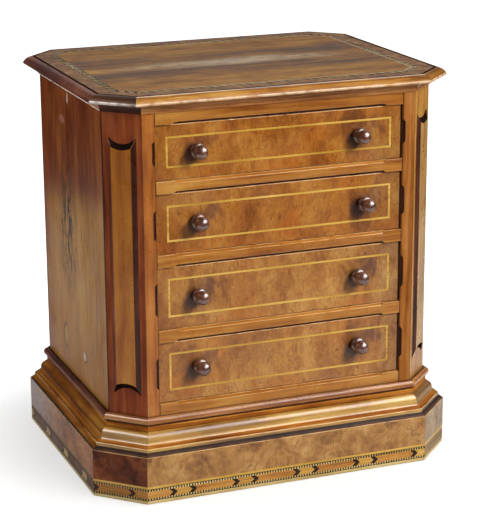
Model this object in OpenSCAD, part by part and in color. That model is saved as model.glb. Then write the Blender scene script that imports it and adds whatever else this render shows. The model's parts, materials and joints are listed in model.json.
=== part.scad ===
// Table chest with canted corners, four drawers, a moulded top and a moulded plinth.
// The origin is on the floor under the middle of the chest, +Z is up and the drawers open towards -Y.

/* [Case] */
// Width of the case over its sides
case_w = 350; // [300:1:420]
// Depth of the case over its front and back
case_d = 276; // [240:1:340]
// Leg of the 45 degree cant on each corner
corner_cant = 30.5; // [26:0.5:40]
// Thickness of the side boards
side_t = 12; // [8:0.5:18]
// Thickness of the back board
back_t = 10; // [6:0.5:16]
// Thickness of the case bottom
case_bottom_t = 7; // [4:0.5:7]
// Front face of the stile beside the drawers
stile_w = 12.5; // [9:0.5:24]
// Thickness of the front post behind its stile
post_t = 22; // [16:0.5:28]

/* [Rails] */
// Height of the rail above the drawers
top_rail_h = 22; // [18:0.5:30]
// Height of the rails between the drawers
rail_t = 12.7; // [9:0.1:18]
// Height of the rail below the drawers
bottom_rail_h = 20.2; // [18:0.1:30]
// Depth of the rails from front to back
rail_d = 32; // [30:0.5:45]
// Leg of the stop chamfers on rails and stiles
chamfer = 2.3; // [1:0.1:4]
// Plain length at each end of a rail before its chamfer starts
rail_plain = 19; // [10:0.5:40]
// Plain length at each end of a stile chamfer
stile_plain = 15; // [8:0.5:20]
// Length of the slanted stop of a chamfer
chamfer_stop = 2.8; // [1:0.1:5]

/* [Corner strips] */
// Width of a corner strip on the post
strip_w = 30.5; // [26:0.5:34]
// Width of the flat face of the strip
strip_face_w = 21.5; // [16:0.5:24]
// Height that the strip stands proud of the post
strip_rise = 3; // [1.5:0.25:5]
// Radius of the hollow at each end of the strip
strip_hollow_r = 19; // [17:0.5:40]
// Run of the bevel in the hollow
strip_end_run = 5.5; // [3:0.25:8]
// Width of the blunt tip at each side of the hollow
strip_tip = 1; // [0.5:0.1:2]
// Plain post above the strip
strip_above = 34; // [25:0.5:60]
// Plain post below the strip
strip_below = 30; // [15:0.5:60]

/* [Top] */
// Thickness of the top board
top_t = 8.3; // [7:0.1:14]
// Overhang of the top past the case
top_overhang = 15; // [12:0.5:20]
// Further overhang of the top at its canted corners
top_cant_out = 2.7; // [0:0.1:6]
// Height of the upright nose
nose_h = 3; // [1.5:0.25:5]
// Step between the nose and the thumb moulding
nose_step = 0.7; // [0.3:0.1:1.5]
// Radius of the thumb moulding
thumb_r = 11; // [8:0.5:12]
// Width and depth of the quirk inside the thumb moulding
quirk = 1; // [0.5:0.1:1.5]
// Width of the crossbanding
crossband_w = 15; // [8:0.5:25]
// Width of the twisted-rope banding
rope_w = 7.5; // [4:0.5:12]
// Thickness of the inlays in the top
veneer_t = 1.2; // [0.6:0.1:2]
// Radius of the cove under the top
cove_r = 8.5; // [5:0.5:10]
// Fillet at the foot of the cove
cove_fillet = 1.5; // [0.5:0.25:3]

/* [Base] */
// Height of the plinth boards
plinth_h = 49.5; // [40:0.5:70]
// Thickness of the plinth boards
plinth_t = 16; // [12:0.5:18]
// Projection of the plinth past the case
plinth_out = 21; // [18.5:0.5:26]
// Height of the ebonised fillet on the plinth
ebony_h = 3.3; // [2:0.1:6]
// Fillet below the ogee
ogee_fillet_h = 3.3; // [1.5:0.1:6]
// Radius of both curves of the ogee
ogee_r = 6.6; // [5:0.1:7.7]
// Projection of the neck above the ogee
neck_out = 3; // [1:0.1:4]
// Height of the neck above the ogee
neck_h = 6.2; // [1:0.1:9]
// Width of the moulding that the case bottom stands on
base_lap = 6; // [3:0.5:12]
// Height of the bead at the foot of the case
bead_h = 8.8; // [5:0.1:12]
// Projection of the bead
bead_out = 6.2; // [6:0.1:9]
// Height of the boxwood foot edge
foot_edge_h = 3.5; // [2:0.25:6]
// Height of the parquetry band
parquetry_h = 12.5; // [8:0.25:18]
// Height of the boxwood line above the parquetry
boxwood_line_h = 2.4; // [1:0.1:4]
// Thickness of the inlays in the plinth
inlay_t = 1.5; // [0.8:0.1:3]
// Length of a glue block
block_l = 40; // [20:1:60]
// Leg of a glue block
block_leg = 16; // [10:0.5:22]
// Distance of the front and back glue blocks from the middle
block_x = 75; // [40:1:100]

/* [Drawers] */
// Height of the first drawer's opening, at the top
drawer_1_h = 55.5; // [50:0.5:80]
// Height of the second drawer's opening
drawer_2_h = 61; // [50:0.5:80]
// Height of the third drawer's opening
drawer_3_h = 64; // [50:0.5:80]
// Height of the fourth drawer's opening
drawer_4_h = 63.5; // [50:0.5:80]
// Set-back of the drawer fronts from the rails
drawer_recess = 3; // [1:0.25:5]
// Thickness of a drawer front
front_t = 16; // [12:0.5:16]
// Thickness of a drawer side
lining_t = 7; // [5:0.5:10]
// Thickness of a drawer back
drawer_back_t = 7; // [5:0.5:10]
// Thickness of a drawer bottom
drawer_bottom_t = 4; // [3:0.25:6]
// Height of the drawer bottom above the lower edge of the sides
bottom_rise = 6; // [5:0.25:10]
// Depth of the groove that holds the drawer bottom
groove_d = 3.5; // [2:0.25:4.5]
// Drop of the drawer back below the top of the sides
back_drop = 3; // [1:0.5:8]
// Room between a closed drawer and the case back
drawer_room = 10; // [4:0.5:30]
// Wood left in front of the lapped dovetails
lap_t = 4; // [2:0.25:6]
// Width of a dovetail pin at its thin end
pin_w = 5; // [3:0.25:7]
// Slope of the dovetails
tail_slope = 0.15; // [0.1:0.01:0.2]
// Inset of the stringing from the edges of a drawer front
string_inset = 11.7; // [6:0.1:14]
// Width of the stringing
string_w = 2; // [1:0.1:3]
// Depth of the stringing
string_t = 1; // [0.5:0.1:2]
// Distance of the left knobs from the end of a drawer front
knob_inset_left = 43.2; // [25:0.1:70]
// Distance of the right knobs from the end of a drawer front
knob_inset_right = 47.5; // [25:0.1:70]
// Set of the second drawer's right knob, further out than the others
knob_2_out = 6.4; // [0:0.1:10]
// Height of the fourth drawer's knobs above the middle of their drawer
knob_4_up = 3; // [0:0.25:6]

/* [Knobs] */
// Greatest radius of the bun behind the ball
bun_r = 7.9; // [6:0.1:9]
// Radius of the round edge of the bun
bun_edge_r = 3.3; // [2:0.1:4]
// Radius of the collar at the drawer front
collar_r = 5.6; // [5:0.1:7]
// Thickness of the collar
collar_t = 0.8; // [0.5:0.1:2.5]
// Radius of the ball at the front of a knob
ball_r = 7.3; // [5.8:0.1:8]
// Height of the ball above the bun's face
ball_rise = 12.3; // [8:0.1:13]
// Radius of the spigot in the drawer front
spigot_r = 3.5; // [2:0.1:3.9]

/* [Runners and stops] */
// Bearing of a drawer side on its runner, past the stile
runner_bearing = 13; // [9:0.5:25]
// Height of a drawer guide
guide_h = 8; // [4:0.5:14]
// Length of a drawer stop along the rail
stop_l = 24; // [12:1:40]
// Depth of a drawer stop
stop_d = 8; // [4:0.5:9]
// Height of a drawer stop
stop_h = 4; // [2:0.25:4.5]
// Distance of a drawer stop from the middle
stop_x = 60; // [30:1:90]

/* [Clearances] */
// Gap above and beside a drawer front
drawer_gap = 0.6; // [0.3:0.1:1.5]
// Running gap under a drawer
run_gap = 0.3; // [0.2:0.05:0.6]
// Gap between a drawer front and its stops
stop_gap = 0.3; // [0.1:0.05:1]
// Glue gap in dovetails and grooves
glue_gap = 0.1; // [0.05:0.05:0.2]
// Radial gap round a knob spigot
spigot_gap = 0.05; // [0.02:0.01:0.1]
// Hairline between mitred lengths
mitre_gap = 0.1; // [0.05:0.05:0.3]

/* [Hidden] */
$fn = 64;

// Woods
WALNUT = [0.52, 0.30, 0.14];
RED_WALNUT = [0.42, 0.22, 0.11];
BURR = [0.60, 0.36, 0.16];
BOXWOOD = [0.86, 0.68, 0.30];
EBONISED = [0.16, 0.12, 0.11];
ROSEWOOD = [0.22, 0.08, 0.06];
DEAL = [0.76, 0.60, 0.40];

// A cut runs this far past the face that it opens
CUT = 1;
SIDES = 8;
TURN = 360 / SIDES;
MITRE = tan(TURN / 2);
TAILS = 3;
DRAWERS = 4;
drawer_h = [drawer_1_h, drawer_2_h, drawer_3_h, drawer_4_h];

// Levels, from the floor up
ebony_z = plinth_h;
moulding_z = ebony_z + ebony_h;
ogee_mid_z = moulding_z + ogee_fillet_h + ogee_r;
case_z = ogee_mid_z + ogee_r + neck_h;
openings_z = case_z + bottom_rail_h;
top_z = openings_z + stack(DRAWERS) - rail_t + top_rail_h;
top_face_z = top_z + top_t;

// Half sizes of the case and of the drawer opening
half_w = case_w / 2;
half_d = case_d / 2;
opening_half = half_w - corner_cant - stile_w;
inner_half = half_w - side_t;
inner_front = -half_d + max(rail_d, corner_cant);
inner_back = half_d - back_t;
straight_back = half_d - max(corner_cant, back_t);

// Offsets from the faces of the case
thumb_start = top_overhang - nose_step - sqrt(pow(thumb_r, 2) - pow(thumb_r - top_t + nose_h, 2));
crossband_out = thumb_start - quirk;
rope_out = crossband_out - crossband_w;
panel_out = rope_out - rope_w;
plinth_in = plinth_out - plinth_t;
inlay_in = plinth_out - inlay_t;
inlay_top = foot_edge_h + parquetry_h + boxwood_line_h;
moulding_in = -side_t - base_lap;
ogee_out = neck_out + 2 * ogee_r;

// Drawer faces, along Y and X
front_y = -half_d + drawer_recess;
front_back_y = front_y + front_t;
rear_y = inner_back - drawer_room;
rear_in_y = rear_y - drawer_back_t;
drawer_half = opening_half - drawer_gap;
lining_half = drawer_half - lining_t;
tail_d = front_t - lap_t;

// Height of the drawer openings above drawer i, counted from the top drawer down
function stack(i) = i == 0 ? 0 : stack(i - 1) + drawer_h[i - 1] + rail_t;
function opening_top(i) = top_z - top_rail_h - stack(i);
function opening_bottom(i) = opening_top(i) - drawer_h[i];
function drawer_low(i) = opening_bottom(i) + run_gap;
function drawer_high(i) = opening_top(i) - drawer_gap;
function panel_low(i) = drawer_low(i) + bottom_rise;
function back_low(i) = panel_low(i) + drawer_bottom_t + glue_gap;
function back_high(i) = drawer_high(i) - back_drop;
function knob_z(i) = (drawer_low(i) + drawer_high(i)) / 2 + (i == DRAWERS - 1 ? knob_4_up : 0);
function knob_xs(i) =
    [-drawer_half + knob_inset_left, drawer_half - knob_inset_right + (i == 1 ? knob_2_out : 0)];

// The eight corners of the case outline, offset outwards by o, starting at the front right
// Its canted sides go a further extra outwards
function corners(o, extra = 0) =
    let (leg = MITRE * o + extra / sin(TURN), x = half_w - corner_cant + leg, x_far = half_w + o,
         y = half_d - corner_cant + leg, y_far = half_d + o)
    [[x, -y_far], [x_far, -y], [x_far, y], [x, y_far], [-x, y_far], [-x_far, y], [-x_far, -y], [-x, -y_far]];
function side_start(i, o, extra = 0) = corners(o, extra)[(i + SIDES - 1) % SIDES];
function side_end(i, o, extra = 0) = corners(o, extra)[i];
function side_middle(i) = (side_start(i, 0) + side_end(i, 0)) / 2;
function side_length(i, o, extra = 0) = norm(side_end(i, o, extra) - side_start(i, o, extra));
function side_heading(i) = [cos(i * TURN), sin(i * TURN)];

// Plan of one mitred length on side i, between two offsets: side 0 is the front, then anticlockwise
module mitred_plan(i, inner, outer, extra = 0) {
    ease = side_heading(i) * mitre_gap / 2;
    polygon([side_start(i, outer, extra) + ease, side_end(i, outer, extra) - ease,
             side_end(i, inner, extra) - ease, side_start(i, inner, extra) + ease]);
}

// A plain mitred strip on side i
module mitred_strip(i, inner, outer, low, height, extra = 0) {
    translate([0, 0, low]) linear_extrude(height) mitred_plan(i, inner, outer, extra);
}

// Stands children on side i: X runs along the side, -Y points outwards
module on_side(i) {
    translate(concat(side_middle(i), 0)) rotate(i * TURN) children();
}

// Runs a profile of offset and height along side i
module along_side(i, length, shift = 0) {
    on_side(i) translate([shift, 0, 0]) rotate([90, 0, -90]) linear_extrude(length, center = true) children();
}

// A mitred length of a moulded profile on side i: the profile on a cant stands extra further out
module mitred_moulding(i, inner, outer, low, high, extra = 0) {
    out = i % 2 == 1 ? extra : 0;
    intersection() {
        mitred_strip(i, inner, outer, low, high - low, extra);
        along_side(i, side_length(i, outer, extra) + CUT) translate([out, 0]) children();
    }
}

// A rectangle of offset and height
module section(inner, outer, low, high) {
    translate([inner, low]) square([outer - inner, high - low]);
}

// A flat board with the outline of the top, offset outwards by o
module top_octagon(o, low, height) {
    translate([0, 0, low]) linear_extrude(height) polygon(corners(o, top_cant_out));
}

// Stop chamfer along X on an arris at the origin, into +Y and -Z
module stop_chamfer(length) {
    ramp = CUT * chamfer_stop / chamfer;
    half = length / 2;
    foot = half - chamfer_stop;
    depth = chamfer + 2 * CUT;
    intersection() {
        rotate([90, 0, 90]) linear_extrude(length + 2 * ramp, center = true)
            polygon([[-CUT, CUT], [chamfer + CUT, CUT], [-CUT, -chamfer - CUT]]);
        translate([0, chamfer + CUT, 0]) rotate([90, 0, 0]) linear_extrude(depth)
            polygon([[-half - ramp, CUT], [half + ramp, CUT],
                     [foot - ramp, -chamfer - CUT], [-foot + ramp, -chamfer - CUT]]);
    }
}

// Groundwork of the top, under the inlays
module top_board() {
    color(WALNUT) top_octagon(crossband_out, top_z, top_t - veneer_t);
}

// Moulded edging of the top: upright nose, thumb moulding and quirk
module top_edge() {
    color(WALNUT) for (i = [0 : SIDES - 1])
        mitred_moulding(i, crossband_out, top_overhang, top_z, top_face_z, top_cant_out) {
            section(crossband_out, top_overhang, top_z, top_z + nose_h);
            section(crossband_out, thumb_start, top_z, top_face_z - quirk);
            intersection() {
                section(thumb_start, top_overhang - nose_step, top_z, top_face_z);
                translate([thumb_start, top_face_z - thumb_r]) circle(thumb_r);
            }
        }
}

module top_crossband() {
    color(BURR) for (i = [0 : SIDES - 1])
        mitred_strip(i, rope_out, crossband_out, top_face_z - veneer_t, veneer_t, top_cant_out);
}

module top_rope_band() {
    color(BOXWOOD) for (i = [0 : SIDES - 1])
        mitred_strip(i, panel_out, rope_out, top_face_z - veneer_t, veneer_t, top_cant_out);
}

module top_centre_panel() {
    color(BURR) top_octagon(panel_out, top_face_z - veneer_t, veneer_t);
}

module top_cove() {
    reach = cove_fillet + cove_r;
    color(RED_WALNUT) for (i = [0 : SIDES - 1])
        mitred_moulding(i, 0, reach, top_z - reach, top_z) difference() {
            section(0, reach, top_z - reach, top_z);
            translate([reach, top_z - cove_r]) circle(cove_r);
        }
}

// A side board stands between the front post and the rear post: hand is 1 on the right and -1 on the left
module case_side(hand) {
    length = case_d - 2 * corner_cant;
    middle = hand * (half_w - side_t / 2);
    color(WALNUT) translate([middle - side_t / 2, -length / 2, case_z])
        cube([side_t, length, top_z - case_z]);
}

module case_back() {
    width = case_w - 2 * corner_cant;
    color(DEAL) translate([-width / 2, inner_back, case_z]) cube([width, back_t, top_z - case_z]);
}

// The bottom lies inside the sides, on the lap of the base moulding
module case_bottom() {
    rear_half = half_w - corner_cant;
    rear_edge = half_d - corner_cant;
    color(DEAL) translate([0, 0, case_z]) linear_extrude(case_bottom_t)
        polygon([[-inner_half, inner_front], [inner_half, inner_front], [inner_half, rear_edge],
                 [rear_half, inner_back], [-rear_half, inner_back], [-inner_half, rear_edge]]);
}

// Front post on the right: stile, canted face and the joint with the side board
module front_post_right() {
    color(WALNUT) difference() {
        translate([0, 0, case_z]) linear_extrude(top_z - case_z)
            polygon([[opening_half, -half_d], [half_w - corner_cant, -half_d],
                     [half_w, -half_d + corner_cant], [inner_half, -half_d + corner_cant],
                     [opening_half, -half_d + post_t]]);
        for (i = [0 : DRAWERS - 1])
            translate([opening_half, -half_d, (opening_top(i) + opening_bottom(i)) / 2])
                rotate([0, -90, 0]) stop_chamfer(drawer_h[i] - 2 * stile_plain);
    }
}

module front_post_left() {
    mirror([1, 0, 0]) front_post_right();
}

module rear_post_right() {
    translate([0, 0, case_z]) linear_extrude(top_z - case_z)
        polygon([[half_w - corner_cant, half_d], [half_w, half_d - corner_cant],
                 [inner_half, half_d - corner_cant], [half_w - corner_cant, inner_back]]);
}

module rear_posts() {
    color(WALNUT) {
        rear_post_right();
        mirror([1, 0, 0]) rear_post_right();
    }
}

// Bevelled hollow that shapes one end of a corner strip, centred beyond that end
module strip_hollow() {
    slope = strip_end_run / strip_rise;
    rotate([90, 0, 0]) translate([0, 0, -CUT])
        cylinder(h = strip_rise + 2 * CUT, r1 = strip_hollow_r - slope * CUT,
                 r2 = strip_hollow_r + slope * (strip_rise + CUT));
}

// Raised strip with bevelled edges on the canted face of side i
module corner_strip(i) {
    low = case_z + strip_below;
    high = top_z - strip_above;
    centre = sqrt(pow(strip_hollow_r, 2) - pow(strip_w / 2 - strip_tip, 2));
    color(RED_WALNUT) on_side(i) difference() {
        translate([0, 0, low]) linear_extrude(high - low)
            polygon([[-strip_w / 2, 0], [-strip_face_w / 2, -strip_rise],
                     [strip_face_w / 2, -strip_rise], [strip_w / 2, 0]]);
        translate([0, 0, high + centre]) strip_hollow();
        translate([0, 0, low - centre]) strip_hollow();
    }
}

// Front rail between two heights, with stop chamfers on the edges that meet a drawer
module rail(low, high, chamfer_low, chamfer_high) {
    length = 2 * (opening_half - rail_plain);
    color(WALNUT) difference() {
        translate([-opening_half, -half_d, low]) cube([2 * opening_half, rail_d, high - low]);
        if (chamfer_high) translate([0, -half_d, high]) stop_chamfer(length);
        if (chamfer_low) translate([0, -half_d, low]) mirror([0, 0, 1]) stop_chamfer(length);
    }
}

module top_rail() {
    rail(opening_top(0), top_z, true, false);
}

// Rail below drawer i
module drawer_rail(i) {
    rail(opening_top(i + 1), opening_bottom(i), true, true);
}

module bottom_rail() {
    rail(case_z, openings_z, false, true);
}

// A bar beside the drawers on both sides, from the side boards in to from_x
module side_bars(from_x, low, height) {
    for (x = [-inner_half, from_x])
        translate([x, inner_front, low]) cube([inner_half - from_x, straight_back - inner_front, height]);
}

// The lowest runners stand on the case bottom, the others are level with their rails
module drawer_runners() {
    color(DEAL) for (i = [0 : DRAWERS - 1]) {
        low = i == DRAWERS - 1 ? case_z + case_bottom_t : opening_top(i + 1);
        side_bars(opening_half - runner_bearing, low, opening_bottom(i) - low);
    }
}

module drawer_guides() {
    color(DEAL) for (i = [0 : DRAWERS - 1]) side_bars(opening_half, opening_bottom(i), guide_h);
}

module top_kickers() {
    color(DEAL) side_bars(opening_half - runner_bearing, opening_top(0), top_rail_h);
}

module drawer_stops() {
    color(DEAL) for (i = [0 : DRAWERS - 1], x = [-stop_x, stop_x])
        translate([x - stop_l / 2, front_back_y + stop_gap, opening_bottom(i)])
            cube([stop_l, stop_d, stop_h]);
}

module base_bead() {
    r = bead_h / 2;
    color(RED_WALNUT) for (i = [0 : SIDES - 1])
        mitred_moulding(i, 0, bead_out, case_z, case_z + bead_h) {
            section(0, bead_out - r, case_z, case_z + bead_h);
            translate([bead_out - r, case_z + r]) circle(r);
        }
}

// Ogee on a fillet, with a neck above it: convex over concave
module base_moulding() {
    color(BURR) for (i = [0 : SIDES - 1])
        mitred_moulding(i, moulding_in, ogee_out, moulding_z, case_z) {
            section(moulding_in, neck_out, moulding_z, case_z);
            section(moulding_in, neck_out + ogee_r, moulding_z, ogee_mid_z);
            translate([neck_out, ogee_mid_z]) circle(ogee_r);
            difference() {
                section(neck_out, ogee_out, moulding_z, ogee_mid_z);
                translate([ogee_out, ogee_mid_z]) circle(ogee_r);
            }
        }
}

module ebony_fillet() {
    color(EBONISED) for (i = [0 : SIDES - 1])
        mitred_moulding(i, plinth_in, plinth_out, ebony_z, moulding_z)
            polygon([[plinth_in, ebony_z], [plinth_out, ebony_z],
                     [ogee_out, moulding_z], [plinth_in, moulding_z]]);
}

// Plinth board on side i, rebated at its foot for the inlay
module plinth_board(i) {
    color(BURR) mitred_moulding(i, plinth_in, plinth_out, 0, plinth_h) {
        section(plinth_in, inlay_in, 0, plinth_h);
        section(plinth_in, plinth_out, inlay_top, plinth_h);
    }
}

module plinth_corners() {
    for (i = [1 : 2 : SIDES - 1]) plinth_board(i);
}

// One inlaid line round the foot of the plinth
module plinth_inlay(low, height) {
    for (i = [0 : SIDES - 1]) mitred_strip(i, inlay_in, plinth_out, low, height);
}

module plinth_foot_edge() {
    color(BOXWOOD) plinth_inlay(0, foot_edge_h);
}

module plinth_parquetry() {
    color(WALNUT) plinth_inlay(foot_edge_h, parquetry_h);
}

module plinth_boxwood_line() {
    color(BOXWOOD) plinth_inlay(foot_edge_h + parquetry_h, boxwood_line_h);
}

// Glue block in the angle between a plinth board and the base moulding
module glue_block(i, shift) {
    along_side(i, block_l, shift)
        polygon([[plinth_in, moulding_z - block_leg], [plinth_in, moulding_z],
                 [plinth_in - block_leg, moulding_z]]);
}

module plinth_glue_blocks() {
    color(DEAL) {
        for (i = [0, 4], shift = [-block_x, block_x]) glue_block(i, shift);
        for (i = [2, 6]) glue_block(i, 0);
    }
}

// Row of dovetails between two heights: they start at the origin line and spread along +X
module dovetails(low, high, depth, ease = 0) {
    pitch = (high - low) / TAILS;
    wide = (pitch - pin_w) / 2 + ease;
    narrow = wide - (depth + CUT) * tail_slope;
    for (t = [0 : TAILS - 1]) {
        middle = low + (t + 0.5) * pitch;
        polygon([[-CUT, middle - narrow], [depth + ease, middle - wide],
                 [depth + ease, middle + wide], [-CUT, middle + narrow]]);
    }
}

// Turns a drawing of Y and Z into a board across X
module across_x(from_x, thickness) {
    translate([from_x, 0, 0]) rotate([90, 0, 90]) linear_extrude(thickness) children();
}

// The dovetails of one drawer side that enter the drawer front
module front_tails(i, ease = 0) {
    translate([front_back_y, 0]) mirror([1, 0]) dovetails(drawer_low(i), drawer_high(i), tail_d, ease);
}

// The dovetails of one drawer side that pass through the drawer back
module rear_tails(i, ease = 0) {
    translate([rear_in_y, 0]) dovetails(back_low(i), back_high(i), drawer_back_t, ease);
}

// The frame of stringing on a drawer front, from a given depth outwards
module string_frame(i, depth) {
    outer_half = drawer_half - string_inset;
    height = drawer_high(i) - drawer_low(i) - 2 * string_inset;
    translate([0, front_y + string_t, (drawer_low(i) + drawer_high(i)) / 2])
        rotate([90, 0, 0]) linear_extrude(depth) difference() {
            square([2 * outer_half, height], center = true);
            square([2 * (outer_half - string_w), height - 2 * string_w], center = true);
        }
}

// Stands children at both knobs of drawer i, with Z pointing out of the drawer front
module at_knobs(i) {
    for (x = knob_xs(i))
        translate([x, front_y, knob_z(i)]) rotate([90, 0, 0]) children();
}

module drawer_front(i) {
    color(BURR) difference() {
        translate([-drawer_half, front_y, drawer_low(i)])
            cube([2 * drawer_half, front_t, drawer_high(i) - drawer_low(i)]);
        for (x = [-drawer_half - CUT, lining_half - glue_gap])
            across_x(x, lining_t + CUT + glue_gap) front_tails(i, glue_gap);
        translate([-lining_half, front_back_y - groove_d, panel_low(i) - glue_gap])
            cube([2 * lining_half, groove_d + CUT, drawer_bottom_t + 2 * glue_gap]);
        string_frame(i, string_t + CUT);
        at_knobs(i) translate([0, 0, -front_t - CUT])
            cylinder(r = spigot_r + spigot_gap, h = front_t + 2 * CUT);
    }
}

module drawer_stringing(i) {
    color(BOXWOOD) string_frame(i, string_t);
}

// Drawer side with dovetails at both ends and a groove for the bottom
module drawer_side(i, from_x, groove_x) {
    difference() {
        across_x(from_x, lining_t) {
            front_tails(i);
            rear_tails(i);
            difference() {
                section(front_back_y, rear_y, drawer_low(i), drawer_high(i));
                section(rear_in_y, rear_y + CUT, back_low(i) - glue_gap, back_high(i) + glue_gap);
            }
        }
        translate([groove_x, front_back_y - CUT, panel_low(i) - glue_gap])
            cube([groove_d + CUT, rear_y - front_back_y + 2 * CUT, drawer_bottom_t + 2 * glue_gap]);
    }
}

module drawer_sides(i) {
    color(DEAL) {
        drawer_side(i, -drawer_half, -lining_half - groove_d);
        drawer_side(i, lining_half, lining_half - CUT);
    }
}

module drawer_back(i) {
    color(DEAL) difference() {
        translate([-drawer_half, rear_in_y, back_low(i)])
            cube([2 * drawer_half, drawer_back_t, back_high(i) - back_low(i)]);
        for (x = [-drawer_half - CUT, lining_half - glue_gap])
            across_x(x, lining_t + CUT + glue_gap) rear_tails(i, glue_gap);
    }
}

// The bottom slides in its grooves from behind and passes under the drawer back
module drawer_bottom(i) {
    wide = lining_half + groove_d - glue_gap;
    narrow = lining_half - glue_gap;
    lead = groove_d - glue_gap;
    color(DEAL) translate([0, 0, panel_low(i)]) linear_extrude(drawer_bottom_t) {
        translate([-wide, front_back_y + glue_gap]) square([2 * wide, rear_y - front_back_y - glue_gap]);
        translate([-narrow, front_back_y - lead]) square([2 * narrow, lead + CUT]);
    }
}

// Half section of a turned knob: spigot, collar, bun and ball
module knob_section() {
    bun_z = collar_t + bun_edge_r;
    face_z = bun_z + bun_edge_r;
    translate([0, -front_t]) square([spigot_r, front_t + collar_t]);
    square([collar_r, bun_z]);
    translate([0, bun_z - bun_edge_r]) square([bun_r - bun_edge_r, 2 * bun_edge_r]);
    intersection() {
        square([bun_r, face_z + ball_rise]);
        union() {
            translate([bun_r - bun_edge_r, bun_z]) circle(bun_edge_r);
            translate([0, face_z + ball_rise - ball_r]) circle(ball_r);
        }
    }
}

module drawer_knobs(i) {
    color(ROSEWOOD) at_knobs(i) rotate_extrude() knob_section();
}

top_board();
top_edge();
top_crossband();
top_rope_band();
top_centre_panel();
top_cove();
case_side(-1);  // case_side_left
case_side(1);  // case_side_right
case_back();
case_bottom();
front_post_left();
front_post_right();
rear_posts();
corner_strip(7);  // corner_strip_left
corner_strip(1);  // corner_strip_right
top_rail();
drawer_rail(0);  // drawer_rail_1
drawer_rail(1);  // drawer_rail_2
drawer_rail(2);  // drawer_rail_3
bottom_rail();
drawer_runners();
drawer_guides();
top_kickers();
drawer_stops();
base_bead();
base_moulding();
ebony_fillet();
plinth_board(0);  // plinth_front
plinth_board(2);  // plinth_right
plinth_board(4);  // plinth_back
plinth_board(6);  // plinth_left
plinth_corners();
plinth_parquetry();
plinth_boxwood_line();
plinth_foot_edge();
plinth_glue_blocks();
for (i = [0 : DRAWERS - 1]) {
    drawer = str("drawer_", i + 1);
    drawer_front(i);
    drawer_stringing(i);
    drawer_sides(i);
    drawer_back(i);
    drawer_bottom(i);
    drawer_knobs(i);
}
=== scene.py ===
# %% [markdown]
# # A table chest of four drawers, dressed for its picture
# The solid model already holds every board, moulding and joint of this walnut chest. This
# lesson gives it its looks: fine mouldings, worn arrises, inlay cut piece by piece, and wood
# finishes that follow the grain of each board. The solids stay where they are, and each new
# piece takes the place of one of them, so that nothing has to be fitted by eye.

# %% Load the solids
import json
import math

import bmesh
import bpy
from mathutils import Matrix, Vector

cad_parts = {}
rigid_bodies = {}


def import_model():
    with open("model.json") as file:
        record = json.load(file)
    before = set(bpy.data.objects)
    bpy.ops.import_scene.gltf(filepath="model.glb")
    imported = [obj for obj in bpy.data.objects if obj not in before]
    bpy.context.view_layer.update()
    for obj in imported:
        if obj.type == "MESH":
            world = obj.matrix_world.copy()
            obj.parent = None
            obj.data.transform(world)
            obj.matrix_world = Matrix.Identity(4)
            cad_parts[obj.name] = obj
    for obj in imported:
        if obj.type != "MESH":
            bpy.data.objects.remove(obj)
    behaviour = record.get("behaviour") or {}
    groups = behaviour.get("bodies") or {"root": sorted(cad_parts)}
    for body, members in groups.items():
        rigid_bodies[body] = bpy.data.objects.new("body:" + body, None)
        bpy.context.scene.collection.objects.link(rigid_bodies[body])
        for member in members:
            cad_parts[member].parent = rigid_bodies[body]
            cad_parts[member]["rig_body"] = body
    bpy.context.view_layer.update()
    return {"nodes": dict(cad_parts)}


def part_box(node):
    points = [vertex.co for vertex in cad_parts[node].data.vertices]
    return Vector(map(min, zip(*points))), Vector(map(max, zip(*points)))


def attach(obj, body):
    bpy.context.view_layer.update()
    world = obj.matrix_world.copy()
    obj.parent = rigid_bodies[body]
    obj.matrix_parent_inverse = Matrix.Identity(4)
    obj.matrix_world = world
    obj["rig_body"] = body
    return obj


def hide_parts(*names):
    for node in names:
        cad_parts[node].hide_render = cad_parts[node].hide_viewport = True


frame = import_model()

MM = 0.001
scene = bpy.context.scene
scene.view_settings.view_transform = "Standard"

# %% [markdown]
# ## The camera
# The chest is seen from its left and a little from above, with a long lens, so its upright
# edges stay almost parallel. The view could be found by turning the camera by hand; here it
# is written as angles round the chest, which are easy to read and to change. A camera looks
# along its own -Z, so the three axes of the view make up its rotation.

# %% Set up the camera
CAMERA_AZIMUTH = math.radians(-21.472)
CAMERA_ELEVATION = math.radians(16.296)
CAMERA_ROLL = math.radians(-0.362)
CAMERA_DISTANCE = 2.005448
CAMERA_TARGET = Vector((0.011253, 0, 0.185656))
LENS = 126.62
SENSOR = 36


def direction(azimuth, elevation):
    """Unit vector from the chest: azimuth 0 is the front, positive to the right."""
    flat = math.cos(elevation)
    return Vector((math.sin(azimuth) * flat, -math.cos(azimuth) * flat, math.sin(elevation)))


towards_camera = direction(CAMERA_AZIMUTH, CAMERA_ELEVATION)
level_right = (-towards_camera).cross(Vector((0, 0, 1))).normalized()
level_up = level_right.cross(-towards_camera)
view_right = level_right * math.cos(CAMERA_ROLL) + level_up * math.sin(CAMERA_ROLL)
view_up = level_up * math.cos(CAMERA_ROLL) - level_right * math.sin(CAMERA_ROLL)
camera = bpy.data.objects.new("camera", bpy.data.cameras.new("camera"))
camera.data.lens = LENS
camera.data.sensor_width = SENSOR
camera.data.clip_end = 50
turn = Matrix((view_right, view_up, towards_camera)).transposed().to_4x4()
camera.matrix_world = Matrix.Translation(CAMERA_TARGET + towards_camera * CAMERA_DISTANCE) @ turn
scene.collection.objects.link(camera)
scene.camera = camera
print("camera at", [round(v, 3) for v in camera.matrix_world.translation])

# %% [markdown]
# ## Studio light
# The chest stands on a white sheet in a dim room. A strong lamp on the right casts the knobs'
# shadows down to the left, two weak fills open the front and the left side, and a soft box
# overhead is there for the sheet. Polished mouldings also need bright shapes to reflect, so a
# window in front, one high on the right, one far to the left and a bright wall behind are seen
# in the polish only: they draw highlights and light nothing.

# %% Place the lamps
LAMP_CENTRE = Vector((0, -0.02, 0.2))


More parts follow.
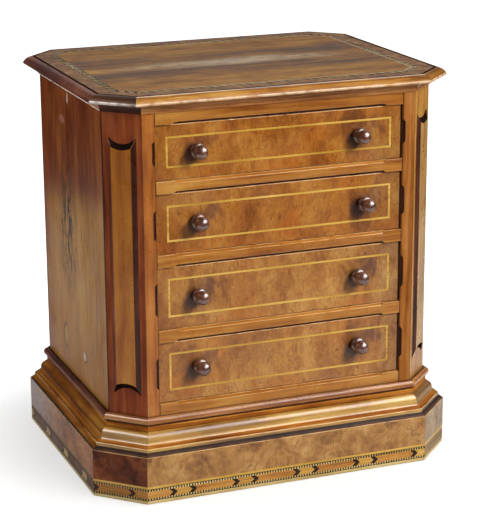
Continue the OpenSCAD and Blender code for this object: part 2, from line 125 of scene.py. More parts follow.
def soft_lamp(name, azimuth, elevation, distance, width, height, watts, lights=True, mirrored=True):
    """A rectangular lamp that faces the chest: angles in degrees, lengths in metres."""
    lamp = bpy.data.lights.new(name, "AREA")
    lamp.shape = "RECTANGLE"
    lamp.size = width
    lamp.size_y = height
    lamp.energy = watts
    aim = direction(math.radians(azimuth), math.radians(elevation))
    holder = bpy.data.objects.new(name, lamp)
    holder.rotation_euler = aim.to_track_quat("Z", "Y").to_euler()
    holder.location = LAMP_CENTRE + aim * distance
    holder.visible_diffuse = lights
    holder.visible_glossy = mirrored
    scene.collection.objects.link(holder)
    return holder


key = soft_lamp("key_from_the_right", 32, 31, 2.4, 0.56, 0.56, 53, mirrored=False)
soft_box = soft_lamp("soft_box_overhead", 60, 76, 2.4, 1.3, 1.3, 38, mirrored=False)
soft_lamp("fill_from_the_front", 10, 30, 2.8, 1.4, 1.4, 4, mirrored=False)
soft_lamp("fill_from_the_left", -75, 26, 3.0, 1.8, 1.6, 25.5, mirrored=False)
soft_lamp("window_in_front", 22, 36, 2.6, 0.8, 1.6, 26, lights=False)
high_window = soft_lamp("window_high_right", 62, 42, 2.2, 1.8, 1.6, 76, lights=False)
left_window = soft_lamp("window_far_left", -74, 42, 3.0, 1.5, 1.3, 66, lights=False)
soft_lamp("wall_behind", 163, 39, 3.0, 2.4, 0.9, 14, lights=False)

# %% [markdown]
# The sheet under the chest has to look white and still show the soft shadow of the plinth.
# More light would bleach the wood as well, so the sheet gets a little glow of its own that the
# camera and, less, the polish see; the wood is lit by the lamps alone. In the polish the sheet
# ends about a metre away: low parts of the chest mirror its white, high parts the dim room.

# %% Write the node helpers
def feed(tree, socket, value):
    """Links an output to an input, or sets the input to a constant."""
    if isinstance(value, bpy.types.NodeSocket):
        tree.links.new(value, socket)
    else:
        socket.default_value = value


def linked(tree, kind, feeds, out=0, **settings):
    """Adds a node to a tree, feeds its inputs and returns one of its outputs."""
    node = tree.nodes.new("ShaderNode" + kind)
    for name, value in settings.items():
        setattr(node, name, value)
    for name, value in feeds.items():
        feed(tree, node.inputs[name], value)
    return node.outputs[out]


def seen(tree, mirrored):
    """One for camera and transmission rays, and a share of it for mirrored rays."""
    path = tree.nodes.new("ShaderNodeLightPath").outputs
    polish = linked(tree, "Math", {0: path["Is Glossy Ray"], 1: mirrored}, operation="MULTIPLY")
    either = {0: path["Is Camera Ray"], 1: path["Is Transmission Ray"]}
    direct = linked(tree, "Math", either, operation="MAXIMUM")
    return linked(tree, "Math", {0: direct, 1: polish}, operation="MAXIMUM")


print("node helpers ready")

# %% Lay the sheet
FLOOR_HALF = 9.0
FLOOR_DROP = 0.0004
WHITE = (1, 1, 1, 1)
SHEET_WHITE = (0.64, 0.64, 0.64, 1)
ROOM_DARK = (0.03, 0.03, 0.03, 1)
SHEET_ROUGH = 0.9
SHEET_MIDDLE = (0, 0.1, 0)
SHEET_HALF = (0.92, 1.02)
SHEET_GLOW = (0.54, 1.0)
GLOW_REACH = (0.2, 0.44)
MIRRORED_GLOW = 0.5

sheet = bpy.data.materials.new("white_sheet")
sheet.use_nodes = True
tree = sheet.node_tree
place = tree.nodes.new("ShaderNodeNewGeometry").outputs["Position"]
from_middle = linked(tree, "VectorMath", {0: place, 1: SHEET_MIDDLE}, operation="SUBTRACT")
spread = linked(tree, "VectorMath", {0: from_middle}, operation="ABSOLUTE")
axes = linked(tree, "SeparateXYZ", {0: spread}).node.outputs
widest = linked(tree, "Math", {0: axes[0], 1: axes[1]}, operation="MAXIMUM")
edge = {"Value": widest, "From Min": SHEET_HALF[0], "From Max": SHEET_HALF[1]}
beyond = linked(tree, "MapRange", edge, interpolation_type="SMOOTHSTEP")
glossy = tree.nodes.new("ShaderNodeLightPath").outputs["Is Glossy Ray"]
dark = linked(tree, "Math", {0: beyond, 1: glossy}, operation="MULTIPLY")
colour = linked(tree, "MixRGB", {0: dark, 1: SHEET_WHITE, 2: ROOM_DARK})
gap = linked(tree, "VectorMath", {0: place}, "Value", operation="LENGTH")
reach = dict(zip(("From Min", "From Max", "To Min", "To Max"), GLOW_REACH + SHEET_GLOW))
strength = linked(tree, "MapRange", {"Value": gap, **reach})
bright = {0: seen(tree, MIRRORED_GLOW), 1: dark}
shown = linked(tree, "Math", bright, operation="SUBTRACT", use_clamp=True)
cloth = {
    "Base Color": colour,
    "Roughness": SHEET_ROUGH,
    "Specular IOR Level": 0,
    "Emission Color": WHITE,
    "Emission Strength": linked(tree, "Math", {0: shown, 1: strength}, operation="MULTIPLY"),
}
for name, value in cloth.items():
    feed(tree, tree.nodes["Principled BSDF"].inputs[name], value)

floor_mesh = bpy.data.meshes.new("floor")
floor_corners = [(-1, -1), (1, -1), (1, 1), (-1, 1)]
floor_places = [(x * FLOOR_HALF, y * FLOOR_HALF, -FLOOR_DROP) for x, y in floor_corners]
floor_mesh.from_pydata(floor_places, [], [(0, 1, 2, 3)])
floor_mesh.materials.append(sheet)
floor = bpy.data.objects.new("floor", floor_mesh)
scene.collection.objects.link(floor)
print("floor", 2 * FLOOR_HALF, "m wide")

# %% [markdown]
# ### Lamps for some pieces only
# The strong lamp would draw a hard shadow on the sheet, so it leaves the sheet out, and the soft
# box overhead lights the sheet alone. Two pictures could be laid over each other for this; light
# linking gives each lamp its own list of pieces. Later the high window is kept off the edge of
# the top, and the left window off the knobs, where they would mirror too widely.

# %% Screen the lamps and dim the room
ROOM_LIGHT = 0.11
ROOM_MIRRORED = 0.12


def screen_lamp(lamp, state, *pieces):
    """Lets a lamp light these pieces only, or everything but these pieces."""
    lit = bpy.data.collections.new("lit_by_" + lamp.name)
    for piece in pieces:
        lit.objects.link(piece)
    for entry in lit.collection_objects:
        entry.light_linking.link_state = state
    lamp.light_linking.receiver_collection = lit


screen_lamp(key, "EXCLUDE", floor)
screen_lamp(soft_box, "INCLUDE", floor)

room = bpy.data.worlds.new("room")
room.use_nodes = True
tree = room.node_tree
rays = tree.nodes.new("ShaderNodeLightPath").outputs
dim = {0: rays["Is Glossy Ray"], "To Min": ROOM_LIGHT, "To Max": ROOM_MIRRORED}
either = {0: linked(tree, "MapRange", dim), 1: seen(tree, ROOM_MIRRORED)}
backdrop = tree.nodes["Background"].inputs
feed(tree, backdrop["Color"], WHITE)
feed(tree, backdrop["Strength"], linked(tree, "Math", either, operation="MAXIMUM"))
scene.world = room
print("room light", ROOM_LIGHT)

# %% [markdown]
# ## A bench for wood finishes
# Every wood on the chest is a tree of small nodes: noises stretched along the grain, mixed
# into colours, with roughness and a slight relief. The trees could be drawn by hand in the
# shader editor; a short class that adds a node and hands back its output keeps them readable.
# The grain comes from an attribute named grain, which each piece carries: x runs along the
# fibres, y across them and z into the depth, in metres, so one finish fits boards of any
# direction. A second attribute, wear_and_light, is above zero on rubbed arrises and on arrises
# where a highlight is painted, and below zero in grimy joints and where shade is painted.

# %% Write the finish bench
def paint(red, green, blue):
    """A colour as read off a screen, 0 to 255, as the light that shaders use."""
    linear = []
    for share in (red / 255, green / 255, blue / 255):
        linear.append(share / 12.92 if share < 0.04045 else ((share + 0.055) / 1.055) ** 2.4)
    return (*linear, 1)


# Dark tone for grimy joints, also used as painted shade in creases, under the bead and at the ends of the
# drawers.
GRIME_AND_SHADE = paint(30, 13, 7)


class Finish:
    """One material, built node by node: each method returns the output of its new node."""

    def __init__(self, name, on_solid=False):
        self.material = bpy.data.materials.new(name)
        self.material.use_nodes = True
        self.tree = self.material.node_tree
        self.shader = self.tree.nodes["Principled BSDF"]
        if on_solid:
            self.grain = self.node("TexCoord", out="Object")
        else:
            self.grain = self.node("Attribute", out="Vector", attribute_name="grain")

    def node(self, kind, inputs=(), out=0, **settings):
        return linked(self.tree, kind, dict(inputs), out, **settings)

    def stretch(self, along, across, depth=None, start=None):
        factors = (along, across, across if depth is None else depth)
        return self.node("VectorMath", {0: start or self.grain, 1: factors}, operation="MULTIPLY")

    def shifted(self, vector, colour, reach):
        """Moves a vector by a noise colour, about reach to each side."""
        centred = self.node("VectorMath", {0: colour, 1: (0.5, 0.5, 0.5)}, operation="SUBTRACT")
        scaled = self.node("VectorMath", {0: centred, "Scale": 2 * reach}, operation="SCALE")
        return self.node("VectorMath", {0: vector, 1: scaled}, operation="ADD")

    def noise(self, vector, scale=1.0, detail=2.0, rough=0.5, out="Fac"):
        inputs = {"Vector": vector, "Scale": scale, "Detail": detail, "Roughness": rough}
        return self.node("TexNoise", inputs, out=out)

    def cells(self, vector, scale, out="Distance"):
        return self.node("TexVoronoi", {"Vector": vector, "Scale": scale}, out=out)

    def level(self, value, low, high, first=0.0, last=1.0):
        inputs = {"Value": value, "From Min": low, "From Max": high, "To Min": first, "To Max": last}
        return self.node("MapRange", inputs, interpolation_type="SMOOTHSTEP")

    def calc(self, operation, first, second=0.0):
        return self.node("Math", {0: first, 1: second}, operation=operation)

    def mix(self, share, first, second, way="MIX"):
        inputs = {"Fac": share, "Color1": first, "Color2": second}
        return self.node("MixRGB", inputs, blend_type=way)

    def ramp(self, value, places, *tones):
        """Tones laid over a value, one at each place, with soft changes between them."""
        made = self.node("ValToRGB", {"Fac": value}).node
        elements = made.color_ramp.elements
        while len(elements) < len(tones):
            elements.new(1.0)
        for element, place, tone in zip(elements, places, tones):
            element.position = place
            element.color = paint(*tone)
        return made.outputs["Color"]

    def along_across(self, vector=None):
        """The first two parts of the grain, or of another vector."""
        parts = self.node("SeparateXYZ", {"Vector": vector or self.grain}).node.outputs
        return parts[0], parts[1]

    def total(self, *parts):
        """The weighted sum of values."""
        result = 0.0
        for value, weight in parts:
            result = self.node("Math", {0: value, 1: weight, 2: result}, operation="MULTIPLY_ADD")
        return result

    def gap(self, centre, factors=(1, 1, 1)):
        """Distance from a point of the grain frame, with the axes weighted."""
        placed = self.node("VectorMath", {0: self.grain, 1: centre}, operation="SUBTRACT")
        scaled = self.node("VectorMath", {0: placed, 1: factors}, operation="MULTIPLY")
        return self.node("VectorMath", {0: scaled}, out="Value", operation="LENGTH")

    def near(self, gap, radius, soft):
        """One inside a radius, fading over soft."""
        return self.level(gap, radius, radius + soft, 1.0, 0.0)

    def ring(self, gap, radius, width):
        """One on a ring of a radius, fading over width to both sides."""
        return self.calc("MULTIPLY", self.level(gap, radius - width, radius), self.near(gap, radius, width))

    def times(self, *values):
        result = values[0]
        for value in values[1:]:
            result = self.calc("MULTIPLY", result, value)
        return result

    def polish(
        self, colour, relief, depth, rough=(0.26, 0.38), worn=None, specular=0.5, coat=0.0, blur=0.1,
    ):
        """Closes the finish: rubbed arrises and painted highlights, grime and painted shade, gloss that
        varies, and the relief.
        """
        wear_and_light_level = self.node("Attribute", out="Fac", attribute_name="wear_and_light")
        # Above zero the pale colour comes in: rubbed arrises, and painted highlights on the nose of the top
        # and on some other arrises.
        if worn is not None:
            patchy = self.level(self.noise(self.grain, 70.0, 3.0), 0.28, 0.6)
            pale = self.node("Math", {0: wear_and_light_level, 1: patchy}, operation="MULTIPLY", use_clamp=True)
            colour = self.mix(pale, colour, worn)
        # Below zero the colour goes to the dark tone: real grime in joints, and painted shade in creases
        # and gaps.
        grime_and_shade_share = self.node("Math", {0: wear_and_light_level, 1: -1.0}, operation="MULTIPLY", use_clamp=True)
        smears = self.noise(self.grain, 35.0, 3.0)
        sockets = {
            "Base Color": self.mix(grime_and_shade_share, colour, GRIME_AND_SHADE),
            "Roughness": self.level(smears, 0.3, 0.7, *rough),
            "Specular IOR Level": specular,
            "Coat Weight": coat,
            "Coat Roughness": blur,
        }
        if depth:
            bump = {"Height": relief, "Distance": depth, "Strength": 1.0}
            sockets["Normal"] = self.node("Bump", bump, out="Normal")
        for name, value in sockets.items():
            feed(self.tree, self.shader.inputs[name], value)
        return self.material


print("finish bench ready")

# %% [markdown]
# ## Burr walnut
# Burr veneer is cut from knotty growths, so its fibres swirl and hold small dark eyes, short
# upright flecks, fine threads and cloudy patches. It could be one noise; several are laid over
# each other because the eye looks for all these sizes at once: warm and mauve clouds of 40 mm,
# curls of 10 mm, flecks and eyes of 2 mm. Hands have stained the drawer fronts: they are darker
# round the knobs, with a smudge above each. Under and left of each knob a dark patch is painted:
# the shadow that the knob casts, with some grime in it. These marks are placed in the grain
# frame of the front. The two lower drawers are paler, and so are the right-hand corners of
# the plinth.

# %% Mark the drawer fronts
KNOB_X = 87 * MM
SMUDGE = (13 * MM, 9 * MM)
# Offset of the dark patch under each knob: its painted shadow, with some grime.
KNOB_SHADOW_AND_GRIME = (-3 * MM, -2.5 * MM)
MAUVE_TINT = (0.83, 0.91, 1.25, 1)


def handled(f, colour, dark, stain, broad, ripple):
    """Stains and smudges at the two knobs, a painted shadow with grime under each, a dark left end and a
    mauve right end.
    """
    along, across = f.along_across()
    aside = f.calc("SUBTRACT", f.calc("ABSOLUTE", along), KNOB_X)
    squares = [(f.calc("POWER", part, 2.0), 1.0) for part in (aside, across)]
    reach = f.calc("SQRT", f.total(*squares))
    ragged = f.total((f.calc("SUBTRACT", broad, 0.5), 0.07), (reach, 1.0))
    colour = f.mix(f.near(ragged, 0.006, 0.02), colour, f.mix(stain, colour, paint(76, 40, 30)))
    for hand in (-1, 1):
        # Painted shadow of the knob, with some grime, below and left of it.
        shadow_and_grime = f.gap((hand * KNOB_X + KNOB_SHADOW_AND_GRIME[0], KNOB_SHADOW_AND_GRIME[1], 0), (1, 1, 0))
        colour = f.mix(f.times(f.near(shadow_and_grime, 0.006, 0.007), 0.8), colour, paint(46, 24, 20))
        smudge = f.gap((hand * KNOB_X + SMUDGE[0], SMUDGE[1], 0), (1, 1.2, 0))
        smudge = f.total((f.calc("SUBTRACT", ripple, 0.5), 0.04), (smudge, 1.0))
        colour = f.mix(f.times(f.near(smudge, 0.003, 0.012), stain), colour, paint(84, 48, 46))
    colour = f.mix(f.level(along, -0.085, -0.128, 0.0, 0.24), colour, dark)
    return f.mix(f.level(along, 0.085, 0.12), colour, MAUVE_TINT, "MULTIPLY")


print("knob stains at", KNOB_X, "m from the middle")

# %% Mix the burr finishes
WORN_EDGE = paint(212, 168, 112)
MAUVE = paint(142, 94, 60)
CURLS = 3.2
EYES = 80.0
RINGS = 30.0


def burr(
    name, *tones, bands=(44, 20), curl=0.009, contour=0.015, ripples=0.26, speckle=0.3, threads=0.4,
    warm=None, stain=0.0, rings=0.0, painted_sheen=None, **gloss,
):
    """Clouds, curls, threads, flecks and eyes in three tones, from dark to pale."""
    f = Finish(name)
    dark = paint(*tones[0])
    drift = f.noise(f.grain, 26.0, 3.0, out="Color")
    swirl = f.shifted(f.grain, drift, curl)
    broad = f.noise(f.stretch(*bands, start=swirl), 1.0, 3.0)
    ripple = f.noise(f.stretch(CURLS * bands[0], CURLS * bands[1], start=swirl), 1.0, 3.0, 0.6)
    fine = f.noise(f.stretch(640, 400, start=swirl), 1.0, 3.0, 0.6)
    lines = f.calc("SINE", f.calc("MULTIPLY", f.noise(swirl, 24.0, 3.0), 46.0))
    clouds = (broad, 1 - ripples - speckle)
    blend = f.total(clouds, (ripple, ripples), (fine, speckle), (lines, contour))
    colour = f.ramp(blend, (0.36, 0.5, 0.64), *tones)
    if warm:
        cloud = f.noise(swirl, 17.0, 2.0)
        colour = f.mix(f.level(cloud, 0.5, 0.68, 0.0, 0.45), colour, paint(*warm))
        colour = f.mix(f.level(cloud, 0.46, 0.32, 0.0, 0.3), colour, MAUVE)
    flecks = f.level(f.noise(f.stretch(520, 120, start=swirl), 1.0, 2.0), 0.56, 0.68)
    colour = f.mix(f.calc("MULTIPLY", flecks, 0.5), colour, dark)
    here = f.level(f.noise(swirl, 50.0, 2.0), 0.5, 0.62, 0.0, threads)
    colour = f.mix(f.times(f.level(lines, 0.75, 1.0), here), colour, dark)
    some = f.level(f.cells(swirl, EYES, "Color"), 0.6, 0.66)
    eyes = f.times(f.near(f.cells(swirl, EYES), 0.06, 0.16), some)
    colour = f.mix(f.calc("MULTIPLY", eyes, 0.55), colour, paint(82, 42, 24))
    if rings:
        some = f.level(f.cells(swirl, RINGS, "Color"), 0.52, 0.58)
        ringed = f.times(f.ring(f.cells(swirl, RINGS), 0.2, 0.07), some, rings)
        colour = f.mix(ringed, colour, paint(96, 56, 34))
    if stain:
        colour = handled(f, colour, dark, stain, broad, ripple)
    # A pale lilac-grey at one end of the grain: a painted sheen, the white sheet mirrored in the polish.
    if painted_sheen:
        along, _ = f.along_across()
        colour = f.mix(f.level(along, *painted_sheen, 0.9, 0.0), colour, paint(178, 162, 160))
    relief = f.calc("SUBTRACT", fine, f.calc("MULTIPLY", eyes, 0.5))
    return f.polish(colour, relief, 0.00008, worn=WORN_EDGE, **gloss)


HANDLED = {"stain": 0.5, "rough": (0.24, 0.36)}
SWIRLING = {
    "bands": (26, 22), "curl": 0.016, "contour": 0.04, "ripples": 0.28, "speckle": 0.16, "threads": 0.6,
}
drawer_burr = burr(
    "drawer_burr", (120, 62, 15), (162, 98, 32), (188, 130, 55), warm=(176, 92, 20), **HANDLED,
)
drawer_pale = burr(
    "drawer_pale", (126, 70, 26), (168, 110, 47), (195, 145, 75), warm=(182, 106, 36), **HANDLED,
)
plinth_burr = burr(
    "plinth_burr", (118, 74, 30), (166, 116, 58), (192, 148, 86), **SWIRLING,
    rings=0.5, rough=(0.22, 0.34),
)
# The left plinth is dim, and pale towards the back with a painted sheen.
dim_burr = burr(
    "plinth_dim", (116, 66, 34), (168, 106, 58), (192, 133, 81), **SWIRLING,
    painted_sheen=(3.52, 3.69), rough=(0.24, 0.34), specular=0.12,
)
faded_burr = burr(
    "faded_burr", (103, 75, 46), (147, 115, 76), (172, 143, 101), **SWIRLING,
    rings=0.4, rough=(0.22, 0.34),
)
corner_burr = burr(
    "corner_burr", (53, 20, 9), (102, 47, 22), (136, 77, 38), **SWIRLING,
    rings=0.7, rough=(0.3, 0.42), specular=0.2,
)
band_burr = burr(
    "crossband_burr", (86, 50, 22), (146, 98, 50), (184, 138, 82),
    bands=(60, 60), rough=(0.34, 0.48), specular=0.2,
)
burrs = (drawer_burr, drawer_pale, plinth_burr, dim_burr, faded_burr, corner_burr, band_burr)
print("burrs:", [wood.name for wood in burrs])

# %% [markdown]
# ## Straight walnut
# Rails, posts and mouldings are sawn along the trunk, so their figure is long streaks, with
# short dark pores along the fibres. One function takes three tones, the width of the streaks
# and the colour of rubbed arrises; frame, mouldings and dark red pieces are the same wood in
# other tones. Where old polish has gone dull the wood is nearly matt, or else the windows would
# lay a pale veil over its colour.

# %% Mix the frame finishes
SATIN = {"rough": (0.24, 0.36), "specular": 0.4}
DULL = {"rough": (0.34, 0.5), "specular": 0.15}
MATT = {"rough": (0.45, 0.6), "specular": 0.02}


def straight(name, *tones, streak=0.008, worn=WORN_EDGE, pored=0.4, depth=0.00007, **gloss):
    """Long wandering streaks and short pores along the grain, in three tones, dark to pale."""
    f = Finish(name)
    wander = f.noise(f.stretch(7, 18), 1.0, 2.0, out="Color")
    lines = f.shifted(f.stretch(3.5, 1 / streak), wander, 0.9)
    streaks = f.noise(lines, 1.0, 6.0, 0.65)
    pores = f.level(f.noise(f.stretch(150, 1500), 1.0, 2.0), 0.58, 0.74)
    patches = f.noise(f.stretch(14, 30), 1.0, 3.0)
    blend = f.total((streaks, 0.6), (patches, 0.4))
    colour = f.ramp(blend, (0.38, 0.5, 0.62), *tones)
    colour = f.mix(f.calc("MULTIPLY", pores, pored), colour, paint(*tones[0]))
    relief = f.total((streaks, 0.4), (pores, -pored))
    return f.polish(colour, relief, depth, worn=worn, **gloss)


frame_walnut = straight("frame_walnut", (132, 70, 18), (171, 109, 40), (194, 140, 65), **SATIN)
stile_walnut = straight("stile_walnut", (130, 68, 22), (170, 100, 40), (192, 126, 58), **SATIN)
stile_brown = straight("stile_brown", (118, 64, 24), (154, 94, 42), (178, 120, 64), **MATT)
red_walnut = straight("red_walnut", (95, 36, 18), (140, 65, 31), (169, 92, 44), **DULL)
gold_walnut = straight("gold_walnut", (136, 84, 34), (166, 114, 48), (188, 138, 70), **SATIN)
strip_walnut = straight("strip_walnut", (142, 74, 18), (174, 104, 28), (192, 128, 44), **SATIN)
strip_gold = straight("strip_gold", (132, 90, 40), (164, 120, 62), (188, 146, 88), **SATIN)
print("frame woods:", frame_walnut.name, stile_walnut.name, red_walnut.name, strip_walnut.name)

# %% Mix the moulding finishes
CREAM_EDGE = paint(226, 190, 150)
WHITE_EDGE = paint(255, 240, 226)
FINE = {"streak": 0.004}
UNWORN_FINE = {"streak": 0.004, "worn": None}
PALE_WEAR_AND_HIGHLIGHT = {"streak": 0.004, "worn": WHITE_EDGE}
CREAM_WEAR_AND_HIGHLIGHT = {"streak": 0.005, "worn": CREAM_EDGE}
OGEE_WOOD = {"streak": 0.006, "rough": (0.3, 0.4), "blur": 0.34}
NO_SHINE = {"rough": (0.5, 0.6), "specular": 0.0}
GLOSSY = {"rough": (0.2, 0.3), "coat": 0.6, "blur": 0.2}
BRIGHT = {"rough": (0.26, 0.36), "specular": 0.25, "coat": 0.5, "blur": 0.1}

# Near-black for the quirk of the top, the dark line beside it and the hollows of the corner strips: painted
# shade, with some dirt.
groove_shade_and_dirt = straight("groove_shade_and_dirt", (22, 12, 9), (34, 20, 15), (52, 32, 24), **UNWORN_FINE, **NO_SHINE)
edge_walnut = straight(
    "edge_walnut", (76, 36, 12), (170, 108, 36), (220, 168, 84), **CREAM_WEAR_AND_HIGHLIGHT, **GLOSSY,
)
edge_dark = straight("edge_dark", (88, 34, 18), (142, 70, 40), (180, 108, 66), streak=0.005, **SATIN)
edge_brown = straight(
    "edge_brown", (44, 22, 10), (72, 40, 20), (104, 64, 34), streak=0.005, worn=WHITE_EDGE, **DULL,
)
edge_gold = straight("edge_gold", (88, 46, 12), (134, 82, 28), (162, 112, 50), **CREAM_WEAR_AND_HIGHLIGHT, **DULL)
chamfer_walnut = straight(
    "chamfer_walnut", (124, 66, 18), (164, 100, 34), (188, 128, 54), **CREAM_WEAR_AND_HIGHLIGHT, **MATT,
)
dark_walnut = straight(
    "dark_walnut", (109, 57, 27), (182, 119, 66), (216, 156, 99), **PALE_WEAR_AND_HIGHLIGHT, **DULL,
)
cove_dark = straight("cove_dark", (30, 12, 7), (58, 26, 14), (88, 46, 26), **PALE_WEAR_AND_HIGHLIGHT, **DULL)
bead_walnut = straight("bead_walnut", (98, 44, 18), (156, 96, 44), (190, 134, 78), **FINE, **BRIGHT)
bead_dull = straight("bead_dull", (72, 28, 14), (118, 58, 32), (156, 98, 58), **FINE, **DULL)
moulding_walnut = straight(
    "moulding_walnut", (112, 68, 14), (178, 130, 44), (208, 168, 82), **OGEE_WOOD, coat=1.0,
)
moulding_gold = straight(
    "moulding_gold", (92, 56, 14), (142, 100, 40), (172, 132, 68), **OGEE_WOOD, coat=0.25,
)
moulding_dull = straight("moulding_dull", (92, 44, 11), (161, 94, 35), (206, 142, 60), **FINE, **MATT)
print("moulding woods:", edge_walnut.name, dark_walnut.name, bead_walnut.name, moulding_walnut.name)

# %% [markdown]
# ## The side boards
# The left side shows upright grain. Its upper third has kept a red-brown polish; the rest is tan,
# partly faded wood and partly a painted sheen of the white sheet mirrored low on the board, and it
# warms further towards the foot as painted light thrown up from the sheet. It has grey streaks,
# two knots low on the board and a mauve patch near the top.
# These marks sit at known places, so they are written as points in the grain frame: height,
# then depth, then the outside of the left board. The right board has none of them, and its
# colour changes slowly from top to bottom.

# %% Mix the side finish
LEFT_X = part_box("case_side_left")[0].x
TEAR_KNOT = (0.120, 0.038, LEFT_X)
ROUND_KNOT = (0.1165, -0.0286, LEFT_X)
MAUVE_PATCH = (0.356, 0.029, LEFT_X)
GREY_MARKS = (0.242, 0.018, LEFT_X)
NICK = (0.3815, 0.0066, LEFT_X)
CRACK = (0.18, -0.075, LEFT_X)


def side_finish(name, change_heights):
    """Upright walnut that changes from faded wood with a painted sheen to kept polish between two heights.
    """
    f = Finish(name)
    along, across = f.along_across()
    broad = f.noise(f.stretch(3, 34), 1.0, 3.0)
    fibres = f.noise(f.stretch(16, 460), 1.0, 4.0, 0.65)
    patches = f.noise(f.stretch(13, 20), 1.0, 4.0, 0.6)
    tone = f.total((broad, 0.25), (fibres, 0.4), (patches, 0.35))
    faded_and_sheen = f.ramp(tone, (0.36, 0.5, 0.64), (140, 82, 20), (182, 123, 46), (203, 149, 67))
    kept = f.ramp(tone, (0.4, 0.5, 0.6), (84, 34, 12), (134, 66, 30), (164, 94, 46))
    edge = f.total((along, 1.0), (f.calc("SUBTRACT", fibres, 0.5), 0.06), (across, 0.16))
    colour = f.mix(f.level(edge, *change_heights), faded_and_sheen, kept)
    # Warmer towards the foot: painted light thrown up from the sheet.
    colour = f.mix(f.level(along, 0.17, 0.09, 0.0, 0.35), colour, paint(150, 88, 26))
    reddened = f.times(f.level(across, 0.06, 0.105), f.level(patches, 0.4, 0.6, 0.3, 0.8))
    colour = f.mix(reddened, colour, paint(140, 66, 30))
    dashes = f.level(f.noise(f.stretch(48, 260), 1.0, 4.0, 0.7), 0.47, 0.55)
    marked = f.near(f.gap(GREY_MARKS, (0.5, 1, 1)), 0.01, 0.034)
    colour = f.mix(f.times(dashes, marked), colour, paint(40, 32, 26))
    specks = f.level(f.noise(f.stretch(60, 420), 1.0, 2.0), 0.64, 0.7)
    colour = f.mix(f.calc("MULTIPLY", specks, 0.65), colour, paint(66, 34, 16))
    tear = f.gap(TEAR_KNOT, (0.75, 1.1, 1))
    tear_line = f.times(f.ring(tear, 0.0095, 0.0018), f.level(across, 0.0335, 0.04), 0.9)
    colour = f.mix(tear_line, colour, paint(70, 38, 18))
    colour = f.mix(f.times(f.near(tear, 0.004, 0.005), 0.5), colour, paint(206, 164, 90))
    knot = f.gap(ROUND_KNOT)
    crescent = f.times(f.ring(knot, 0.0055, 0.0026), f.level(across, -0.031, -0.0286, 1.0, 0.0))
    colour = f.mix(crescent, colour, paint(36, 20, 12))
    colour = f.mix(f.near(knot, 0.0034, 0.0022), colour, paint(206, 184, 160))
    patch = f.gap(MAUVE_PATCH, (2.2, 1, 1))
    colour = f.mix(f.times(f.near(patch, 0.009, 0.0015), 0.7), colour, paint(184, 124, 102))
    nick = f.gap(NICK, (0.28, 1, 1))
    colour = f.mix(f.near(nick, 0.0012, 0.0006), colour, WHITE_EDGE)
    crack = f.gap(CRACK, (0.022, 1, 1))
    colour = f.mix(f.times(f.near(crack, 0.0004, 0.0008), 0.7), colour, paint(64, 32, 14))
    relief = f.total((fibres, 1.0), (specks, -1.0))
    return f.polish(colour, relief, 0.00008, (0.3, 0.42), WORN_EDGE, 0.06)


side_walnut = {
    "left": side_finish("side_walnut", (0.258, 0.3)),
    "right": side_finish("side_even", (0.06, 0.44)),
}
print("side finishes:", [finish.name for finish in side_walnut.values()])

# %% [markdown]
# ## The centre of the top
# The middle of the top is one wide veneer with its grain from left to right. It is dark and
# streaky on both sides of a pale, faded middle, and golden towards the front and the back.
# The bands follow the distance from the middle line, bent by noise so that no edge is ruled.

# %% Mix the top finish
def top_finish():
    f = Finish("figured_walnut")
    wander = f.noise(f.stretch(8, 10), 1.0, 3.0, out="Color")
    bent = f.shifted(f.grain, wander, 0.014)
    streaks = f.noise(f.stretch(4.5, 90, start=bent), 1.0, 5.0, 0.62)
    hairs = f.noise(f.stretch(11, 420, start=bent), 1.0, 3.0, 0.62)
    blotches = f.noise(f.stretch(30, 60, start=bent), 1.0, 3.0)
    tone = f.total((streaks, 0.3), (hairs, 0.4), (blotches, 0.3))
    colour = f.ramp(tone, (0.36, 0.5, 0.62), (104, 56, 8), (164, 107, 28), (200, 146, 60))
    spread = f.calc("ABSOLUTE", f.along_across(bent)[1])
    zone = f.times(f.level(spread, 0.002, 0.03), f.near(spread, 0.048, 0.026))
    dark = f.level(f.total((streaks, 0.65), (hairs, 0.35)), 0.44, 0.56, 0.1, 1.0)
    colour = f.mix(f.times(zone, dark, 0.92), colour, paint(84, 56, 46))
    lens = f.node("VectorMath", {0: bent, 1: (0.16, 1.0, 0.0)}, operation="MULTIPLY")
    oval = f.node("VectorMath", {0: lens}, out="Value", operation="LENGTH")
    middle = f.near(oval, 0.006, 0.02)
    colour = f.mix(f.times(middle, f.level(hairs, 0.4, 0.6, 0.3, 1.0)), colour, paint(226, 206, 176))
    growth = f.level(f.calc("SINE", f.calc("MULTIPLY", oval, 1500.0)), 0.1, 0.9)
    colour = f.mix(f.times(growth, f.near(oval, 0.012, 0.026), 0.4), colour, paint(98, 68, 48))
    pores = f.level(f.noise(f.stretch(160, 1300), 1.0, 2.0), 0.58, 0.72)
    colour = f.mix(f.calc("MULTIPLY", pores, 0.45), colour, paint(72, 44, 26))
    relief = f.total((hairs, 0.5), (pores, -1.0))
    return f.polish(colour, relief, 0.00007, (0.34, 0.48), WORN_EDGE, 0.2)


figured_walnut = top_finish()
print("top finish:", figured_walnut.name)

# %% [markdown]
# ## Small woods
# Boxwood lines are pale yellow and close-grained, and have gone dim on the left. Ebonised wood
# is stained black and rubs through to brown. The knobs are a dark rosewood under a hard, clear
# polish. The drawer linings and the back are plain softwoods. Inner work of deal stays on its
# solids, so that finish reads the solid's own coordinates instead of the grain attribute.

# %% Mix the small woods
CLOSE = {"streak": 0.003, "worn": None}
HARD_POLISH = {"rough": (0.34, 0.44), "coat": 1.0, "blur": 0.18}
HARD_POLISH_IOR = 1.75
RUBBED_BROWN = paint(140, 92, 54)
GREY_WEAR_AND_HIGHLIGHT = paint(176, 140, 110)

